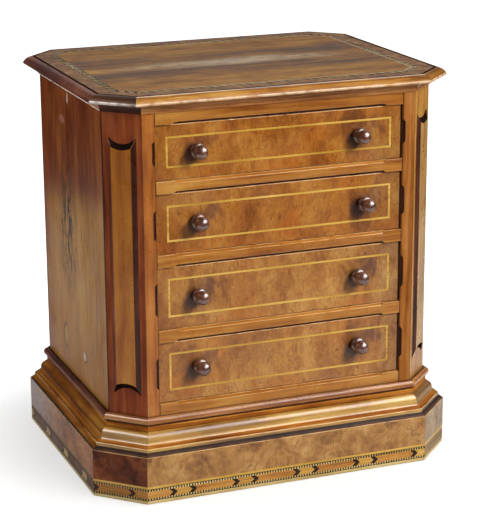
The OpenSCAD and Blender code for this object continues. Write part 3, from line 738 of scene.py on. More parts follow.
boxwood = straight("boxwood", (170, 122, 40), (204, 160, 66), (224, 184, 98), pored=0.2, **CLOSE, **SATIN)
dim_box = straight("dim_boxwood", (86, 58, 30), (124, 90, 50), (146, 110, 68), pored=0.2, **CLOSE, **DULL)
pale_box = straight(
    "pale_boxwood", (158, 126, 62), (208, 180, 116), (226, 204, 150), pored=0.3, **CLOSE, **DULL,
)
ebonised = straight(
    "ebonised", (28, 18, 15), (46, 31, 26), (66, 46, 38), **FINE, worn=RUBBED_BROWN, **DULL,
)
# Near-black brown: a real stain on the chamfers of the posts, and painted shade on the lower rail chamfers
# and stops, under the bead and in the joint below it.
stain_and_shade = straight("stain_and_shade", (34, 10, 5), (54, 18, 9), (78, 30, 16), **UNWORN_FINE, **DULL)
bevel_stain = straight(
    "bevel_stain", (36, 16, 10), (64, 30, 18), (96, 50, 32), **FINE, worn=GREY_WEAR_AND_HIGHLIGHT,
    rough=(0.24, 0.36), specular=0.25,
)
bevel_red = straight("bevel_red", (58, 20, 10), (104, 44, 22), (134, 66, 32), **FINE, **DULL)
rosewood = straight(
    "rosewood", (34, 13, 6), (76, 33, 15), (118, 62, 32), streak=0.01, worn=None, pored=0.0, depth=0.0,
    **HARD_POLISH,
)
rosewood.node_tree.nodes["Principled BSDF"].inputs["Coat IOR"].default_value = HARD_POLISH_IOR


def softwood(name, *tones, on_solid=False):
    """Plain streaky softwood in three tones, dark to pale."""
    f = Finish(name, on_solid)
    fibre = f.stretch(1, 0.08, 1) if on_solid else f.stretch(0.08, 1)
    wander = f.noise(fibre, 12.0, 2.0, out="Color")
    rings = f.noise(f.shifted(fibre, wander, 0.008), 150.0, 4.0, 0.6)
    colour = f.ramp(rings, (0.36, 0.5, 0.64), *tones)
    fibres = f.noise(fibre, 900.0, 2.0)
    colour = f.mix(f.level(fibres, 0.5, 0.75, 0.0, 0.3), colour, paint(*tones[0]))
    return f.polish(colour, fibres, 0.0001, (0.55, 0.7), None, 0.2)


print("small woods:", boxwood.name, pale_box.name, ebonised.name, bevel_stain.name, rosewood.name)

# %% [markdown]
# ## Dressing a solid
# A drawn board has knife-sharp edges, while hands round a real one over time. Each visible
# solid is copied, its flat faces are joined again, and its outward edges get a narrow rounding
# whose faces carry the wear, and on some arrises a painted highlight or painted shade. A bevel
# modifier could do it too; doing it in the mesh leaves plain faces that know which of them are
# rubbed arrises.

# %% Write the dressing helpers
WELD = 6
FLAT_ANGLE = math.radians(0.4)
SHARP_ANGLE = math.radians(18)
ARRIS_ANGLE = math.radians(32)
ROUNDED_ANGLE = math.radians(60)
GRAIN_ORDER = {"X": (0, 2, 1), "Y": (1, 0, 2), "Z": (2, 1, 0), "flat X": (0, 1, 2)}
DARK_JOINT_AND_GAP = -0.85


def solid_copy(node):
    """The faces of a CAD node, welded and with flat areas joined."""
    source = frame["nodes"][node].data
    bm = bmesh.new()
    bm.faces.layers.float.new("wear_and_light")
    spots = {}
    for polygon in source.polygons:
        ring = []
        for index in polygon.vertices:
            place = source.vertices[index].co
            key = tuple(round(v, WELD) for v in place)
            if key not in spots:
                spots[key] = bm.verts.new(place)
            ring.append(spots[key])
        if len(set(ring)) > 2:
            bm.faces.new(ring)
    bmesh.ops.dissolve_limit(bm, angle_limit=FLAT_ANGLE, verts=bm.verts, edges=bm.edges)
    bm.normal_update()
    return bm


def rub_arrises(bm, width, wear_and_light=1.0, where=None):
    """Rounds the outward edges by a width and gives the new faces a mark: wear or grime, and on some
    arrises a painted highlight or painted shade.
    """
    layer = bm.faces.layers.float["wear_and_light"]
    for low, high, segments in ((ARRIS_ANGLE, ROUNDED_ANGLE, 1), (ROUNDED_ANGLE, math.pi, 2)):
        chosen = [
            e
            for e in bm.edges
            if len(e.link_faces) == 2
            and low < e.calc_face_angle_signed(0) <= high
            and not any(f[layer] for f in e.link_faces)
            and (where is None or where(e))
        ]
        made = bmesh.ops.bevel(
            bm, geom=chosen, offset=width, offset_type="OFFSET", segments=segments, profile=0.5,
            affect="EDGES", clamp_overlap=True,
        )
        for face in made["faces"]:
            face[layer] = wear_and_light(face) if callable(wear_and_light) else wear_and_light


def joint_grime_and_gap_shade(bm, axis, at, hand, wear_and_light=DARK_JOINT_AND_GAP):
    """Cuts a board across an axis and darkens the part beyond, towards hand: joint grime, and painted shade
    at drawer ends.
    """
    level = Vector()
    level[axis] = at
    outward = Vector()
    outward[axis] = hand
    cut = bm.verts[:] + bm.edges[:] + bm.faces[:]
    bmesh.ops.bisect_plane(bm, geom=cut, plane_co=level, plane_no=outward, dist=1e-7)
    layer = bm.faces.layers.float["wear_and_light"]
    for face in bm.faces:
        if (face.calc_center_median()[axis] - at) * hand > 0:
            face[layer] = wear_and_light


def lay_grain(bm, along, origin=(0, 0, 0)):
    """Writes the grain attribute: the axis along the fibres first."""
    layer = bm.verts.layers.float_vector.new("grain")
    order = GRAIN_ORDER[along]
    for vert in bm.verts:
        place = vert.co - Vector(origin)
        vert[layer] = [place[axis] for axis in order]


def dress(bm, node, *finishes):
    """Makes the piece, and lets it ride and stand for its CAD node."""
    solid = frame["nodes"][node]
    mesh = bpy.data.meshes.new("polished_" + node)
    for face in bm.faces:
        face.smooth = True
    bm.to_mesh(mesh)
    bm.free()
    mesh.set_sharp_from_angle(angle=SHARP_ANGLE)
    for finish in finishes:
        mesh.materials.append(finish)
    piece = bpy.data.objects.new(mesh.name, mesh)
    scene.collection.objects.link(piece)
    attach(piece, solid["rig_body"])
    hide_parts(node)
    return piece


slots = {solid.data.materials[0].name for solid in frame["nodes"].values()}
print("finishes of the solids:", sorted(slots))

# %% [markdown]
# ## Case: sides, posts and rails
# The boards of the case are plain, so dressed copies of the solids are enough. The chamfers
# that stop short of the corners of each drawer opening are stained dark on the posts. On the
# rails the chamfers that look down or sideways are painted dark as shade, and those that look up
# stay brown. They are the only slanted faces on the posts and rails, apart from the canted
# faces, so they can be told by their normals before the arrises are rubbed. The upper arris of
# each rail is worn pale, which also paints the highlight it catches, and the joints between
# posts, rails and sides hold dark grime.

# %% Dress the case
FINE_ARRIS = 0.3 * MM
BOARD_ARRIS = 0.5 * MM
AXIS_ALIGNED = 0.98
CANTED = 0.99
UPRIGHT = 0.1
SIDEWAYS = 0.2
ENDWISE = 0.5
HARDLY_RUBBED = 0.2
RAIL_TOP = 1.2
RAIL_FOOT = 0.1
RAIL_END = -0.8
STILE, CHAMFER, CANT = range(3)
RAIL, SHADED_CHAMFER, BROWN_CHAMFER = range(3)


def slanted(face):
    """True on a chamfer: not square to any axis."""
    n = face.normal
    return max(abs(n.x), abs(n.y), abs(n.z)) < AXIS_ALIGNED


def board(
    node, along, *finishes, arris=BOARD_ARRIS, origin=(0, 0, 0), choose=None, wear_and_light=1.0, joints=(),
):
    """A dressed copy: choose(face) gives the finish of a face, wear the state of its arrises."""
    bm = solid_copy(node)
    if choose is not None:
        for face in bm.faces:
            face.material_index = choose(face)
    rub_arrises(bm, arris, wear_and_light)
    for axis, at, hand in joints:
        joint_grime_and_gap_shade(bm, axis, at, hand)
    lay_grain(bm, along, origin)
    return dress(bm, node, *finishes)


def post_finish(hand):
    """Tells the canted face of a post, its chamfers and its stile."""

    def choose(face):
        if face.normal.dot(Vector((hand, -1, 0)).normalized()) > CANTED:
            return CANT
        return CHAMFER if slanted(face) else STILE

    return choose


def joint_grime(face):
    """Upright edges of the posts and sides are joints."""
    return DARK_JOINT_AND_GAP if abs(face.normal.z) < UPRIGHT else HARDLY_RUBBED


def rail_wear_and_light(face):
    """Pale upper arris, worn and a painted highlight, grimy ends, and a lower arris that is hardly rubbed.
    """
    if abs(face.normal.x) > ENDWISE:
        return RAIL_END
    return RAIL_TOP if face.normal.z > UPRIGHT else RAIL_FOOT


def rail_finish(face):
    """Lower chamfers and the stops of all chamfers are painted dark as shade, upper chamfers are brown."""
    if not slanted(face):
        return RAIL
    below_or_stop = face.normal.z < UPRIGHT or abs(face.normal.x) > SIDEWAYS
    return SHADED_CHAMFER if below_or_stop else BROWN_CHAMFER


RAIL_SHIFT = (0.3, 0.7)
JOINT = 1.1 * MM
SIDE_JOINT = 2.4 * MM
SIDE_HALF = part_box("case_side_left")[1].y
POST_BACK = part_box("front_post_left")[1].y - 0.5 * MM
OPENING_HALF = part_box("drawer_rail_1")[1].x
post_woods = {"left": (-1, stile_walnut, red_walnut), "right": (1, stile_brown, gold_walnut)}
for word, (hand, stile, cant) in post_woods.items():
    ends = [(1, -SIDE_HALF + SIDE_JOINT, -1), (1, SIDE_HALF - SIDE_JOINT, 1)]
    board("case_side_" + word, "Z", side_walnut[word], wear_and_light=joint_grime, joints=ends)
    board(
        "front_post_" + word, "Z", stile, stain_and_shade, cant, arris=FINE_ARRIS,
        origin=(0, hand, 0), choose=post_finish(hand), wear_and_light=joint_grime, joints=[(1, POST_BACK, 1)],
    )
board("rear_posts", "Z", red_walnut, arris=FINE_ARRIS, wear_and_light=joint_grime)
rails = ["top_rail", "drawer_rail_1", "drawer_rail_2", "drawer_rail_3", "bottom_rail"]
rail_ends = [(0, hand * (OPENING_HALF - JOINT), hand) for hand in (-1, 1)]
for k, node in enumerate(rails):
    board(
        node, "X", frame_walnut, stain_and_shade, chamfer_walnut,
        origin=(RAIL_SHIFT[0] * k, RAIL_SHIFT[1] * k, 0),
        choose=rail_finish, wear_and_light=rail_wear_and_light, joints=rail_ends,
    )
print("case boards and", len(rails), "rails dressed")

# %% [markdown]
# ## Corner strips
# Raised strips with bevelled edges stand on the canted corners, each cut to a hollow at its
# two ends. Bevels are stained dark, with their arrises painted grey as wear and a highlight, and
# the bevel that looks left is red. The hollows are painted near-black as shade, with some dirt.
# The flat face is polished walnut. The rim of the upper hollow is painted pale, as wear and as
# its highlight. The flat face is the only one that looks straight out of the corner, so its
# normal picks it out.

# %% Dress the corner strips
STRAIGHT_OUT = 0.995
RED_BEVEL = -0.8
HOLLOW = 0.2
RIM_ARRIS = 0.6 * MM
STRIP_FACE, BEVEL, LEFT_BEVEL, HOLLOWED = range(4)
STRIP_MIDDLE = (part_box("corner_strip_left")[0].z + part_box("corner_strip_left")[1].z) / 2


def upper_rim(edge):
    """The rim of the upper hollow, which is painted pale as wear and highlight."""
    hollow = any(abs(face.normal.z) > HOLLOW for face in edge.link_faces)
    return hollow and min(v.co.z for v in edge.verts) > STRIP_MIDDLE


for hand, word, face_walnut in ((-1, "left", strip_walnut), (1, "right", strip_gold)):
    out = Vector((hand, -1, 0)).normalized()
    bm = solid_copy("corner_strip_" + word)
    for face in bm.faces:
        if abs(face.normal.z) > HOLLOW:
            face.material_index = HOLLOWED
        elif face.normal.dot(out) < STRAIGHT_OUT:
            face.material_index = LEFT_BEVEL if face.normal.x < RED_BEVEL else BEVEL
        else:
            face.material_index = STRIP_FACE
    rub_arrises(bm, RIM_ARRIS, 1.0, upper_rim)
    rub_arrises(bm, FINE_ARRIS, 0.3)
    lay_grain(bm, "Z", (0, 2 * hand, 0))
    dress(bm, "corner_strip_" + word, face_walnut, bevel_stain, bevel_red, groove_shade_and_dirt)
print("corner strips dressed")

# %% [markdown]
# ## Mouldings round the chest
# Eight mitred lengths of each moulding go round the canted outline. A sweep along a curve would
# round the corners, and a cutter would have to be mitred by hand; instead each point of the
# section is carried to the two corners of its side, where the outline's own rule puts it.
# Sections are drawn in millimetres as offset from the case and height, with small roundings
# on every arris that light can catch.

# %% Write the mitred lengths
HALF_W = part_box("case_side_right")[1].x
HALF_D = -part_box("front_post_right")[0].y
CANT_LEG = HALF_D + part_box("front_post_right")[1].y
SIDES = 8
TURN = math.tau / SIDES
MITRE = math.tan(TURN / 2)
TOP_CANT_OUT = 2.7 * MM
HAIRLINE = 0.1 * MM
SIDE_SHIFT = 0.61


def outline(offset, extra=0.0):
    """The eight corners of the outline, starting at the front right."""
    leg = MITRE * offset + extra / math.sin(TURN)
    x, far_x = HALF_W - CANT_LEG + leg, HALF_W + offset
    y, far_y = HALF_D - CANT_LEG + leg, HALF_D + offset
    on_right = [(x, -far_y), (far_x, -y), (far_x, y), (x, far_y)]
    on_left = [(-x, far_y), (-far_x, y), (-far_x, -y), (-x, -far_y)]
    return [Vector(corner) for corner in on_right + on_left]


def heading_of(side):
    """The direction in which a side runs, anticlockwise round the chest."""
    return Vector((math.cos(side * TURN), math.sin(side * TURN), 0))


def side_end(side, offset, height, at_end, extra=0.0):
    """A point of the section at the start or the end of a side."""
    corner = outline(offset, extra)[side if at_end else side - 1]
    pull = heading_of(side) * (-HAIRLINE if at_end else HAIRLINE)
    return Vector((corner.x, corner.y, height)) + pull


def arc(centre, radius, start, stop, steps=10, wear_and_light=0.0, wood=()):
    """Points of a section along an arc, in degrees."""
    points = []
    for k in range(steps + 1):
        angle = math.radians(start + (stop - start) * k / steps)
        offset = centre[0] + radius * math.cos(angle)
        height = centre[1] + radius * math.sin(angle)
        points.append((offset, height, wear_and_light, *wood))
    return points


def mitred_lengths(section, sides=range(SIDES), extra=0.0, crosswise=False, woods=None):
    """Lengths with this section: points of offset, height and wear_and_light (wear, grime, painted
    highlight or painted shade), in millimetres.

    The number of the finish is a fourth value of a point, or else follows from the side.
    """
    bm = bmesh.new()
    grain = bm.verts.layers.float_vector.new("grain")
    worn = bm.faces.layers.float.new("wear_and_light")
    for side in sides:
        heading = heading_of(side)
        rings = []
        for at_end in (False, True):
            ring, run, last = [], 0.0, None
            for offset, height, *rest in section:
                flat = Vector((offset, height)) * MM
                run += (flat - last).length if last else 0.0
                last = flat
                vert = bm.verts.new(side_end(side, flat.x, flat.y, at_end, extra))
                along = vert.co.dot(heading) + side * SIDE_SHIFT
                vert[grain] = (run, along, side) if crosswise else (along, run, side)
                ring.append(vert)
            rings.append(ring)
        for k, point in enumerate(section):
            n = (k + 1) % len(section)
            face = bm.faces.new((rings[0][k], rings[1][k], rings[1][n], rings[0][n]))
            face[worn] = point[2](side) if callable(point[2]) else point[2]
            face.material_index = point[3] if len(point) > 3 else (woods or {}).get(side, 0)
        bm.faces.new(list(reversed(rings[0])))
        bm.faces.new(rings[1])
    bmesh.ops.recalc_face_normals(bm, faces=bm.faces)
    return bm


print("outline", round(2 * HALF_W, 4), "x", round(2 * HALF_D, 4), "cant", round(CANT_LEG, 4))

# %% [markdown]
# ### The moulded edge of the top and the cove under it
# The edge is a thumb moulding over a square nose, with a fine quirk cut beside the veneer.
# The quirk and the top of the thumb beside it are painted near-black: shade in the groove, with
# some dirt. The nose is painted with a pale line, except on the left: partly rubbed wood, partly
# the highlight it catches. Under it a cove leads back to the case; its left lengths have a pale
# lower arris, painted as a highlight as well as wear, and the front left corner is dark. Each side
# of the edge has its own tone: bright in front, brown at the front left corner, dark to the
# left and golden to the right.

# %% Run the edge of the top
TOP_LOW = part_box("top_edge")[0].z / MM
TOP_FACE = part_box("top_centre_panel")[1].z / MM
TOP_OUT = 15
NOSE_TOP = TOP_LOW + 3
NOSE_R = 1.3
THUMB_R = 11
THUMB_START = 4.892
QUIRK = 1
BAND_OUT = THUMB_START - QUIRK
LEFT_SIDES = (5, 6)
LEFT_OTHER = dict.fromkeys(LEFT_SIDES, 1)
EDGE_FRONT, EDGE_LEFT, EDGE_CORNER, EDGE_QUIRK, EDGE_RIGHT = range(5)


def left_or(left, other=0.0):
    """A wear_and_light value for the left lengths, and another for the rest."""
    return lambda side: left if side in LEFT_SIDES else other


nose = TOP_OUT - NOSE_R
thumb = (THUMB_START, TOP_FACE - THUMB_R)
thumb_low = math.degrees(math.asin((NOSE_TOP - TOP_FACE + THUMB_R) / THUMB_R))
edge_section = [(BAND_OUT, TOP_LOW, 0)]
# The nose: painted pale, as wear and as its highlight, except on the left.
edge_section += arc((nose, TOP_LOW + NOSE_R), NOSE_R, -90, 0, 4, left_or(0.0, 0.7))
edge_section += arc((nose, NOSE_TOP - NOSE_R), NOSE_R, 0, 90, 5, left_or(0.0, 1.0))
edge_section += arc(thumb, THUMB_R, thumb_low, 85, 10)
# The top of the thumb and the quirk: painted near-black, shade in the groove with some dirt.
edge_section += arc(thumb, THUMB_R, 85.5, 90, 2, 0, [EDGE_QUIRK])
edge_section += [(THUMB_START, TOP_FACE - QUIRK, 0, EDGE_QUIRK), (BAND_OUT, TOP_FACE - QUIRK, 0)]
edge_woods = {0: EDGE_FRONT, 1: EDGE_RIGHT, 2: EDGE_RIGHT, 7: EDGE_CORNER}
edge_woods.update(dict.fromkeys((3, 4, *LEFT_SIDES), EDGE_LEFT))
top_edging = mitred_lengths(edge_section, extra=TOP_CANT_OUT, woods=edge_woods)
top_edge = dress(top_edging, "top_edge", edge_walnut, edge_dark, edge_brown, groove_shade_and_dirt, edge_gold)
screen_lamp(high_window, "EXCLUDE", top_edge)
print("top from", round(TOP_LOW, 1), "to", round(TOP_FACE, 1), "mm")

# %% Run the cove
COVE_R = 8.5
COVE_REACH = 10
COVE_ARRIS = 0.5
cove_low = TOP_LOW - COVE_REACH
fillet = COVE_REACH - COVE_R
lower_arris = (fillet - COVE_ARRIS, cove_low + COVE_ARRIS)
cove_section = [(0, cove_low, 0)]
# Lower arris of the cove on the left: painted pale, as wear and as its highlight.
cove_section += arc(lower_arris, COVE_ARRIS, -90, 0, 3, left_or(1.6))
cove_section += arc((COVE_REACH, TOP_LOW - COVE_R), COVE_R, 180, 90, 10)
cove_section += [(0, TOP_LOW, 0)]
dress(mitred_lengths(cove_section, woods={7: 1}), "top_cove", dark_walnut, cove_dark)
print("cove down to", round(cove_low, 1), "mm")

# %% [markdown]
# ### Bead, ogee, black fillet and plinth
# At the foot a half-round bead hides the joint, an ogee spreads to the plinth, and a thin
# black fillet slopes between them. On the left the upper part of the fillet has lost its black.
# Shade is painted dark under the bead, in the crease above it, and in the neck and the joint
# below it. The plinth boards carry a rebate for the inlay.

# %% Run the bead and the ogee
BASE_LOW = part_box("base_moulding")[0].z / MM
CASE_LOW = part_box("base_moulding")[1].z / MM
MOULDING_IN = -18
OGEE_OUT = 16.2
OGEE_R = 6.6
OGEE_STEP = 3.3
OGEE_LIP = 0.6
OGEE_MID = BASE_LOW + OGEE_STEP + OGEE_R
NECK_OUT = 3
NECK_LOW = OGEE_MID + OGEE_R
NECK_SHADE = 0.8
JOINT_SHADE = 0.6
BEAD_R = 4.4
BEAD_OUT = 6.2
BEAD_FRONT, BEAD_LEFT, BEAD_SHADE = range(3)
OGEE_FRONT, OGEE_DULL, OGEE_SHADE, OGEE_RIGHT = range(4)

bead = (BEAD_OUT - BEAD_R, CASE_LOW + BEAD_R)
bead_section = [(0, CASE_LOW, 0)]
# Underside of the bead: painted shade.
bead_section += arc(bead, BEAD_R, -90, -44, 5, 0, [BEAD_SHADE])
bead_section += arc(bead, BEAD_R, -30, 70, 10)
# The crease between the bead and the case: painted shade.
bead_section += arc(bead, BEAD_R, 76, 90, 2, -0.8)
bead_section += [(0, CASE_LOW + 2 * BEAD_R, 0)]
bead_woods = dict.fromkeys(LEFT_SIDES, BEAD_LEFT)
dress(
    mitred_lengths(bead_section, woods=bead_woods), "base_bead", bead_walnut, bead_dull, stain_and_shade,
)

lip = (OGEE_OUT - OGEE_LIP, OGEE_MID - OGEE_R - OGEE_LIP)
hollow = (OGEE_OUT, OGEE_MID)
swell = (NECK_OUT, OGEE_MID)
ogee_section = [(MOULDING_IN, BASE_LOW, 0), (OGEE_OUT, BASE_LOW, 0)]
ogee_section += arc(lip, OGEE_LIP, 0, 90, 3, 1)
ogee_section += arc(hollow, OGEE_R, -98, -136, 6, 0, [OGEE_DULL])
ogee_section += arc(hollow, OGEE_R, -142, -180, 6)
ogee_section += arc(swell, OGEE_R, 0, 18, 3, left_or(-0.6))
ogee_section += arc(swell, OGEE_R, 24, 82, 9)
# The neck and the joint under the bead: painted shade.
ogee_section += [(NECK_OUT, NECK_LOW, -0.4, OGEE_DULL), (NECK_OUT, NECK_LOW + NECK_SHADE, 0, OGEE_DULL)]
ogee_section += [(NECK_OUT, CASE_LOW - JOINT_SHADE, 0, OGEE_SHADE)]
ogee_section += [(NECK_OUT, CASE_LOW, 0), (MOULDING_IN, CASE_LOW, 0)]
ogee_woods = {1: OGEE_RIGHT, 2: OGEE_RIGHT, **dict.fromkeys(LEFT_SIDES, OGEE_DULL)}
ogee = mitred_lengths(ogee_section, woods=ogee_woods)
dress(ogee, "base_moulding", moulding_walnut, moulding_dull, stain_and_shade, moulding_gold)
print("bead and ogee from", round(BASE_LOW, 1), "to", round(CASE_LOW + 2 * BEAD_R, 1), "mm")

# %% Run the fillet and the plinth
PLINTH_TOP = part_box("plinth_front")[1].z / MM
INLAY_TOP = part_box("plinth_boxwood_line")[1].z / MM
PLINTH_IN = 5
PLINTH_OUT = 21
PLINTH_ARRIS = 0.7
INLAY_IN = 19.5
FILLET_SPLIT = 0.42
FILLET_SET = 0.1
FILLET_ROUND = 0.3
BLACK_WOOD = 0
split_out = PLINTH_OUT + (OGEE_OUT - PLINTH_OUT) * FILLET_SPLIT
split_up = PLINTH_TOP + (BASE_LOW - PLINTH_TOP) * FILLET_SPLIT

fillet_out = PLINTH_OUT - FILLET_SET
fillet_section = [(PLINTH_IN, PLINTH_TOP, 0, BLACK_WOOD)]
fillet_section += [(fillet_out - FILLET_ROUND, PLINTH_TOP, 0, BLACK_WOOD)]
fillet_section += [(fillet_out, PLINTH_TOP + FILLET_ROUND, 0.3, BLACK_WOOD), (split_out, split_up, 0)]
fillet_section += [(OGEE_OUT, BASE_LOW, 0, BLACK_WOOD), (PLINTH_IN, BASE_LOW, 0, BLACK_WOOD)]
dress(mitred_lengths(fillet_section, woods=LEFT_OTHER), "ebony_fillet", ebonised, moulding_dull)

upper_arris = (PLINTH_OUT - PLINTH_ARRIS, PLINTH_TOP - PLINTH_ARRIS)
plinth_section = [(PLINTH_IN, 0, 0), (INLAY_IN, 0, 0), (INLAY_IN, INLAY_TOP, 0), (PLINTH_OUT, INLAY_TOP, 0)]
plinth_section += arc(upper_arris, PLINTH_ARRIS, 0, 90, 3, 1)
plinth_section += [(PLINTH_IN, PLINTH_TOP, 0)]
plinth_sides = {"plinth_front": 0, "plinth_right": 2, "plinth_back": 4, "plinth_left": 6}
for node, side in plinth_sides.items():
    dress(mitred_lengths(plinth_section, [side]), node, dim_burr if side in LEFT_SIDES else plinth_burr)
corner_woods = {1: 1, 3: 1, 5: 0, 7: 0}
corners = mitred_lengths(plinth_section, list(corner_woods), woods=corner_woods)
dress(corners, "plinth_corners", corner_burr, faded_burr)
print("plinth", round(PLINTH_TOP, 1), "mm high")

# %% [markdown]
# ## Inlay of the plinth
# A boxwood line, a band of parquetry and a pale edge run round the foot. The parquetry is a
# sandwich of small pieces: two rows of dark and light dashes, and between them orange-brown
# wood with pairs of black chevrons. It is dim on the left and bleached on the front right
# corner. A painted pattern would be easier; cutting the band into real pieces keeps the pattern
# in the mesh. Each piece is a flat shape, clipped at the mitres of its side and given its
# thickness.

# %% Lay the boxwood line and the foot edge
LINE_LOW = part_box("plinth_boxwood_line")[0].z / MM
FOOT_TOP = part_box("plinth_foot_edge")[1].z / MM
FOOT_R = 0.6

line_section = [(INLAY_IN, LINE_LOW, 0), (PLINTH_OUT, LINE_LOW, 0)]
line_section += [(PLINTH_OUT, INLAY_TOP, 0), (INLAY_IN, INLAY_TOP, 0)]
dress(mitred_lengths(line_section, woods=LEFT_OTHER), "plinth_boxwood_line", boxwood, dim_box)
foot_section = [(INLAY_IN, 0, 0)] + arc((PLINTH_OUT - FOOT_R, FOOT_R), FOOT_R, -90, 0, 3, 1)
foot_section += [(PLINTH_OUT, FOOT_TOP, 0), (INLAY_IN, FOOT_TOP, 0)]
dress(mitred_lengths(foot_section), "plinth_foot_edge", pale_box)
print("inlay from", round(FOOT_TOP, 1), "to", round(LINE_LOW, 1), "mm")

# %% Write the inlay helpers
WOOD_SHIFT = 0.37


def clip(shape, start, stop):
    """The part of a convex shape on the left of the line from start to stop."""
    line = stop - start
    kept = []
    for k, point in enumerate(shape):
        last = shape[k - 1]
        before = line.cross(last - start)
        now = line.cross(point - start)
        if before * now < 0:
            kept.append(last.lerp(point, before / (before - now)))
        if now >= 0:
            kept.append(point)
    return kept


def side_plane(side, offset, extra=0.0):
    """Outward direction of a side, and how far its plane stands from the middle."""
    outward = Vector((math.sin(side * TURN), -math.cos(side * TURN), 0))
    middle = outline(offset, extra)[side]
    return outward, outward.dot(Vector((middle.x, middle.y, 0)))


def tessera(bm, shape, place, inward, index, side):
    """One small block of wood: a flat shape, placed in space and given its thickness."""
    if len(shape) < 3:
        return
    grain = bm.verts.layers.float_vector["grain"]
    key = side + WOOD_SHIFT * index
    rings = []
    for push in (Vector(), inward):
        ring = [bm.verts.new(place(p) + push) for p in shape]
        for vert, point in zip(ring, shape):
            vert[grain] = (point.x + key, point.y, key)
        rings.append(ring)
    faces = [bm.faces.new(rings[0]), bm.faces.new(list(reversed(rings[1])))]
    for k in range(len(shape)):
        faces.append(bm.faces.new((rings[0][k - 1], rings[1][k - 1], rings[1][k], rings[0][k])))
    for face in faces:
        face.material_index = index


def new_inlay():
    """An empty mesh that can carry the grain."""
    bm = bmesh.new()
    bm.verts.layers.float_vector.new("grain")
    return bm


def oblong(left, right, low, high, lean=0.0):
    """A block between two ends: its upper edge leans to the right."""
    return [Vector(p) for p in ((left, low), (right, low), (right + lean, high), (left + lean, high))]


print("inlay helpers ready")

# %% Mix the parquetry woods
THIN = {"streak": 0.002, "worn": None}
ORANGE, BLACK, TICK, YELLOW, DIM_GROUND, DIM_TICK, FADED, FADED_MARK = range(8)
DIMMED = {ORANGE: DIM_GROUND, TICK: DIM_TICK}
BLEACHED = {ORANGE: FADED, TICK: FADED, BLACK: FADED_MARK}
TURNED_PALE = {1: BLEACHED, **dict.fromkeys(LEFT_SIDES, DIMMED)}

parquetry_woods = [
    straight("parquetry_walnut", (144, 88, 28), (186, 126, 52), (206, 152, 74), **THIN, **SATIN),
    ebonised,
    pale_box,
    straight("parquetry_yellow", (160, 110, 36), (198, 148, 62), (216, 172, 88), **THIN, **SATIN),
    straight("parquetry_dim", (84, 48, 26), (116, 72, 42), (138, 94, 60), **THIN, **DULL),
    dim_box,
    straight("faded_boxwood", (118, 88, 50), (152, 122, 78), (172, 144, 98), **THIN, **DULL),
    straight("faded_mark", (92, 66, 38), (124, 94, 58), (146, 114, 74), **THIN, **DULL),
]
print("parquetry woods:", [wood.name for wood in parquetry_woods])

# %% Cut the parquetry
DASH_PITCH = 2.9
CHEVRON_W = 5.2
CHEVRON_GAP = 20.7
CHEVRON_PAIR = 66.7
CHEVRON_FIRST = -126.0
SPARE = 0.02
BLACK_LINE = 0.7
DASHES = 2.7
ROWS = [FOOT_TOP, FOOT_TOP + BLACK_LINE, FOOT_TOP + DASHES]
ROWS += [LINE_LOW - DASHES, LINE_LOW - BLACK_LINE, LINE_LOW]
ROW_MIDDLE = (FOOT_TOP + LINE_LOW) / 2
CHEVRON_TIP = 3.7
CHEVRON_LEAD = {**dict.fromkeys((3, 7), (-54.3, -13.4)), **dict.fromkeys((1, 5), (13.4, 54.3))}


def chevrons(side, left, right):
    """The places of the chevrons on a side, and the wood in front of each."""
    if side in CHEVRON_LEAD:
        return [(s * MM, ORANGE) for s in CHEVRON_LEAD[side]]
    places = []
    at = CHEVRON_FIRST
    while at * MM > left - CHEVRON_PAIR * MM:
        at -= CHEVRON_PAIR
    while at * MM < right:
        places += [(at * MM, ORANGE), ((at + CHEVRON_GAP) * MM, YELLOW)]
        at += CHEVRON_PAIR
    return [(s, wood) for s, wood in places if left - SPARE / 2 < s < right + SPARE / 2]


def parquetry():
    """All pieces of the band: black lines, rows of dashes, and chevrons in the middle."""
    bm = new_inlay()
    pieces = 0
    for side in range(SIDES):
        heading = heading_of(side)
        outward, distance = side_plane(side, PLINTH_OUT * MM)
        left = side_end(side, PLINTH_OUT * MM, 0, False).dot(heading)
        right = side_end(side, PLINTH_OUT * MM, 0, True).dot(heading)

        def place(point):
            return outward * distance + heading * point.x + Vector((0, 0, point.y))

        def add(shape, index):
            index = TURNED_PALE.get(side, {}).get(index, index)
            for wall, up in ((left, -1), (right, 1)):
                shape = clip(shape, Vector((wall, 0)), Vector((wall, up)))
            tessera(bm, shape, place, outward * (INLAY_IN - PLINTH_OUT) * MM, index, side)

        for low, high in ((ROWS[0], ROWS[1]), (ROWS[4], ROWS[5])):
            add(oblong(left, right, low * MM, high * MM), BLACK)
        dashes = round((right - left) / (DASH_PITCH * MM / 2))
        step = (right - left) / dashes
        for low, high in ((ROWS[1], ROWS[2]), (ROWS[3], ROWS[4])):
            for k in range(dashes):
                dash = oblong(left + k * step, left + (k + 1) * step, low * MM, high * MM)
                add(dash, TICK if k % 2 else BLACK)
        cuts = []
        for at, wood in chevrons(side, left, right):
            rear = at - (CHEVRON_W + CHEVRON_TIP) * MM / 2
            cuts += [(rear, wood), (rear + CHEVRON_W * MM, BLACK)]
        cuts = [(left - SPARE, ORANGE)] + cuts + [(right + SPARE, ORANGE)]
        tip = CHEVRON_TIP * MM
        for (start, _), (stop, wood) in zip(cuts, cuts[1:]):
            add(oblong(start, stop, ROWS[2] * MM, ROW_MIDDLE * MM, tip), wood)
            add(oblong(start + tip, stop + tip, ROW_MIDDLE * MM, ROWS[3] * MM, -tip), wood)
        pieces += 2 * dashes + 2 * len(cuts)
    bmesh.ops.recalc_face_normals(bm, faces=bm.faces)
    print("parquetry:", pieces, "pieces")
    return bm


dress(parquetry(), "plinth_parquetry", *parquetry_woods)

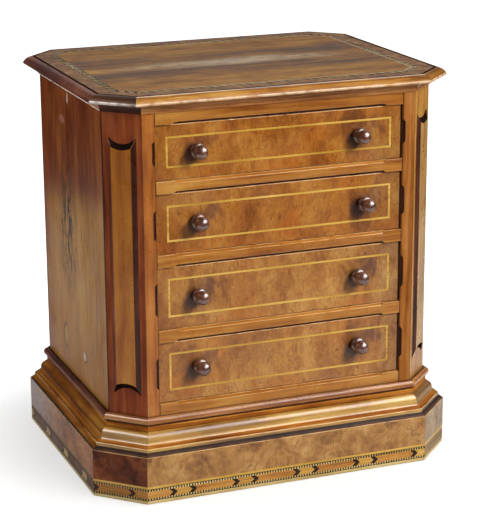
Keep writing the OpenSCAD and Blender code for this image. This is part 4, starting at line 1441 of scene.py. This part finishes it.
# %% [markdown]
# ## Veneers of the top
# The centre panel is one flat veneer. Round it runs a rope band of slanted dark and pale pieces
# between two fine lines, the inner one pale and gone dim on the left, the outer one dark.
# Outside it lies a crossband whose grain runs towards the edge.

# %% Lay the rope band
VENEER = 1.2
ROPE_OUT = BAND_OUT - 15
PANEL_OUT = ROPE_OUT - 7.5
INNER_LINE = 1.3
OUTER_LINE = 0.4
ROPE_PITCH = 10.0
ROPE_DARK = 3.6
ROPE_LEAN = 5.4
PALE, DARK, TWIST, DIM = range(4)
DIM_SIDES = (*LEFT_SIDES, 7)
LEAN_BACK = (2, 6)

rope_woods = [
    straight("rope_pale", (152, 134, 102), (200, 180, 144), (220, 204, 172), **CLOSE, **MATT),
    straight("rope_dark", (16, 9, 7), (30, 20, 16), (50, 36, 28), **CLOSE, **MATT),
    straight("rope_twist", (130, 108, 78), (182, 156, 120), (208, 184, 150), **CLOSE, **MATT),
    straight("rope_dim", (92, 72, 50), (124, 100, 72), (146, 120, 90), **CLOSE, **MATT),
]


def rope_band():
    """All pieces of the band, side by side, cut off at the mitres."""
    bm = new_inlay()
    levels = [PANEL_OUT, PANEL_OUT + INNER_LINE, ROPE_OUT - OUTER_LINE, ROPE_OUT]
    pieces = 0
    for side in range(SIDES):
        heading = heading_of(side)
        outward, distance = side_plane(side, 0, TOP_CANT_OUT)

        def place(point):
            return outward * (distance + point.y) + heading * point.x + Vector((0, 0, TOP_FACE * MM))

        def mitre(offset, at_end):
            corner = side_end(side, offset * MM, 0, at_end, TOP_CANT_OUT)
            return Vector((corner.dot(heading), offset * MM))

        left, right = [(mitre(PANEL_OUT, e), mitre(ROPE_OUT, e)) for e in (False, True)]

        def add(shape, index):
            shape = clip(shape, left[1], left[0])
            shape = clip(shape, right[0], right[1])
            tessera(bm, shape, place, Vector((0, 0, -VENEER * MM)), index, side)

        first, last = left[1].x, right[1].x
        add(oblong(first, last, levels[0] * MM, levels[1] * MM), DIM if side in DIM_SIDES else PALE)
        add(oblong(first, last, levels[2] * MM, levels[3] * MM), DARK)
        lean = -ROPE_LEAN if side in LEAN_BACK else ROPE_LEAN
        count = math.ceil((last - first) / (ROPE_PITCH * MM)) + 2
        for k in range(-2, count):
            start = first + k * ROPE_PITCH * MM
            change = start + ROPE_DARK * MM
            stop = start + ROPE_PITCH * MM
            add(oblong(start, change, levels[1] * MM, levels[2] * MM, lean * MM), DARK)
            add(oblong(change, stop, levels[1] * MM, levels[2] * MM, lean * MM), TWIST)
        pieces += 2 * count + 6
    bmesh.ops.recalc_face_normals(bm, faces=bm.faces)
    print("rope band:", pieces, "pieces")
    return bm


dress(rope_band(), "top_rope_band", *rope_woods)

# %% Lay the crossband and the panel
DARK_LINE = 0.9
band_low = TOP_FACE - VENEER
# A dark line on the outer edge of the crossband, next to the quirk: painted shade, with some dirt.
band_section = [(ROPE_OUT, band_low, 0), (BAND_OUT, band_low, 0, 1), (BAND_OUT, TOP_FACE, 0, 1)]
band_section += [(BAND_OUT - DARK_LINE, TOP_FACE, 0), (ROPE_OUT, TOP_FACE, 0)]
crossband = mitred_lengths(band_section, extra=TOP_CANT_OUT, crosswise=True)
dress(crossband, "top_crossband", band_burr, groove_shade_and_dirt)

panel = solid_copy("top_centre_panel")
lay_grain(panel, "flat X")
dress(panel, "top_centre_panel", figured_walnut)
print("crossband", round(BAND_OUT - ROPE_OUT, 1), "mm wide")

# %% [markdown]
# ## Drawers
# Each drawer has a burr front with a frame of boxwood string let into it, softwood sides that
# are dovetailed into the front and the back, and a thin bottom. The front keeps its sockets
# and grooves from the solid; only the four arrises round its face are rubbed. Its top arris is
# also painted pale as a highlight, and its ends are painted dark: the shade in the gaps beside
# the posts, with the shadow of the right-hand post as a wider band at the right end, and some
# dirt. All pieces of a drawer ride on its body, so they slide out together.

# %% Dress the drawers
FRONT_ARRIS = 0.7 * MM
DRAWERS = 4
PALE_FROM = 3
EDGE_TOUCH = 0.05 * MM
LEFT_END = 0.8 * MM
RIGHT_END = 1.6 * MM
TOP_ARRIS = 1.0
LOW_ARRIS = 0.4
END_ARRIS = -0.7


def outer_arris(node):
    """Tells the edges round the face of a drawer front from those of its grooves."""
    low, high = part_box(node)

    def test(edge):
        a, b = (v.co for v in edge.verts)
        if max(a.y, b.y) > low.y + EDGE_TOUCH:
            return False
        for axis in (0, 2):
            rim = min(abs(a[axis] - low[axis]), abs(a[axis] - high[axis]))
            if max(abs(a[axis] - b[axis]), rim) < EDGE_TOUCH:
                return True
        return False

    return test


def front_wear_and_light(face):
    """The top arris of a drawer front is rubbed pale and painted as a highlight, the lower one less; the
    ends get painted shade.
    """
    if abs(face.normal.x) > SIDEWAYS:
        return END_ARRIS
    return TOP_ARRIS if face.normal.z > 0 else LOW_ARRIS


drawer_lining = softwood("lining_boards", (150, 106, 64), (194, 152, 102), (212, 176, 126))
for k in range(1, DRAWERS + 1):
    drawer = f"drawer_{k}"
    knob_low, knob_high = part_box(drawer + "_knobs")
    origin = ((knob_low.x + knob_high.x) / 2, 0.7 * k, (knob_low.z + knob_high.z) / 2)
    front = solid_copy(drawer + "_front")
    rub_arrises(front, FRONT_ARRIS, front_wear_and_light, outer_arris(drawer + "_front"))
    front_low, front_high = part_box(drawer + "_front")
    # Dark bands at the ends of the front: painted shade of the gaps, the right one wider for the painted
    # shadow of the post, with some dirt.
    joint_grime_and_gap_shade(front, 0, front_low.x + LEFT_END, -1)
    joint_grime_and_gap_shade(front, 0, front_high.x - RIGHT_END, 1, -1.0)
    lay_grain(front, "X", origin)
    dress(front, drawer + "_front", drawer_burr if k < PALE_FROM else drawer_pale)
    string = solid_copy(drawer + "_stringing")
    lay_grain(string, "X", origin)
    dress(string, drawer + "_stringing", boxwood)
    for word, along in (("sides", "Y"), ("back", "X"), ("bottom", "X")):
        board(f"{drawer}_{word}", along, drawer_lining, arris=FINE_ARRIS, origin=origin)
print("drawers dressed:", DRAWERS)

# %% [markdown]
# ## Knobs
# The knobs are turned: a thin collar, a round-edged bun and a ball that stands on the bun in a
# fine groove. A spun profile is the honest way to make turned work, with many steps so that
# the rim stays round close up.

# %% Turn the knobs
KNOB_STEPS = 64
BUN_R = 7.9
BUN_EDGE = 3.3
BUN_AT = 4.1
BALL_R = 7.3
BALL_AT = 12.4
FRONT_T = 16
SPIGOT_R = 3.5
COLLAR_R = 5.6
COLLAR_T = 0.9
GROOVE = [(5.25, 7.15), (5.18, 7.25)]

knob_section = [(0, -FRONT_T), (SPIGOT_R, -FRONT_T), (SPIGOT_R, 0), (COLLAR_R, 0), (COLLAR_R, COLLAR_T)]
knob_section += [point[:2] for point in arc((BUN_R - BUN_EDGE, BUN_AT), BUN_EDGE, -62, 76, 20)]
knob_section += GROOVE
knob_section += [point[:2] for point in arc((0, BALL_AT), BALL_R, -43, 88, 30)]
knob_section += [(0, BALL_AT + BALL_R)]


def turned(bm, foot):
    """Spins the section round an axis out of the drawer front, with a grain of its own."""
    grain = bm.verts.layers.float_vector["grain"]
    rings = []
    for radius, reach in knob_section:
        steps = KNOB_STEPS if radius else 1
        ring = []
        for k in range(steps):
            angle = math.tau * k / steps
            out = Vector((math.cos(angle) * radius, -reach, math.sin(angle) * radius)) * MM
            vert = bm.verts.new(foot + out)
            vert[grain] = (out.z, out.x, out.y + foot.x * 3 + foot.z * 7)
            ring.append(vert)
        rings.append(ring)
    for low, high in zip(rings, rings[1:]):
        for k in range(KNOB_STEPS):
            n = (k + 1) % KNOB_STEPS
            corners = [low[k % len(low)], low[n % len(low)], high[n % len(high)], high[k % len(high)]]
            bm.faces.new(list(dict.fromkeys(corners)))


knobs = []
for k in range(1, DRAWERS + 1):
    node = f"drawer_{k}_knobs"
    low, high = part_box(node)
    front_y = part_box(f"drawer_{k}_front")[0].y
    bm = new_inlay()
    for x in (low.x + BUN_R * MM, high.x - BUN_R * MM):
        turned(bm, Vector((x, front_y, (low.z + high.z) / 2)))
    bmesh.ops.recalc_face_normals(bm, faces=bm.faces)
    knobs.append(dress(bm, node, rosewood))
screen_lamp(left_window, "EXCLUDE", *knobs)
print("knobs turned:", 2 * DRAWERS)

# %% [markdown]
# ## Behind and inside
# The back is a plain softwood board, browned by age. Runners, guides, stops, glue blocks and
# the boards under the veneer hardly ever show, and their solids are right as they are: they
# only get a finish.

# %% Finish the hidden work
back_board = softwood("back_board", (118, 72, 36), (160, 110, 62), (186, 138, 86))
board("case_back", "Z", back_board)
deal = softwood("deal", (146, 104, 62), (188, 148, 98), (206, 172, 122), on_solid=True)
kept = [solid for solid in frame["nodes"].values() if not solid.hide_render]
for solid in kept:
    solid.material_slots[0].material = deal
print("solids kept with a deal finish:", len(kept))
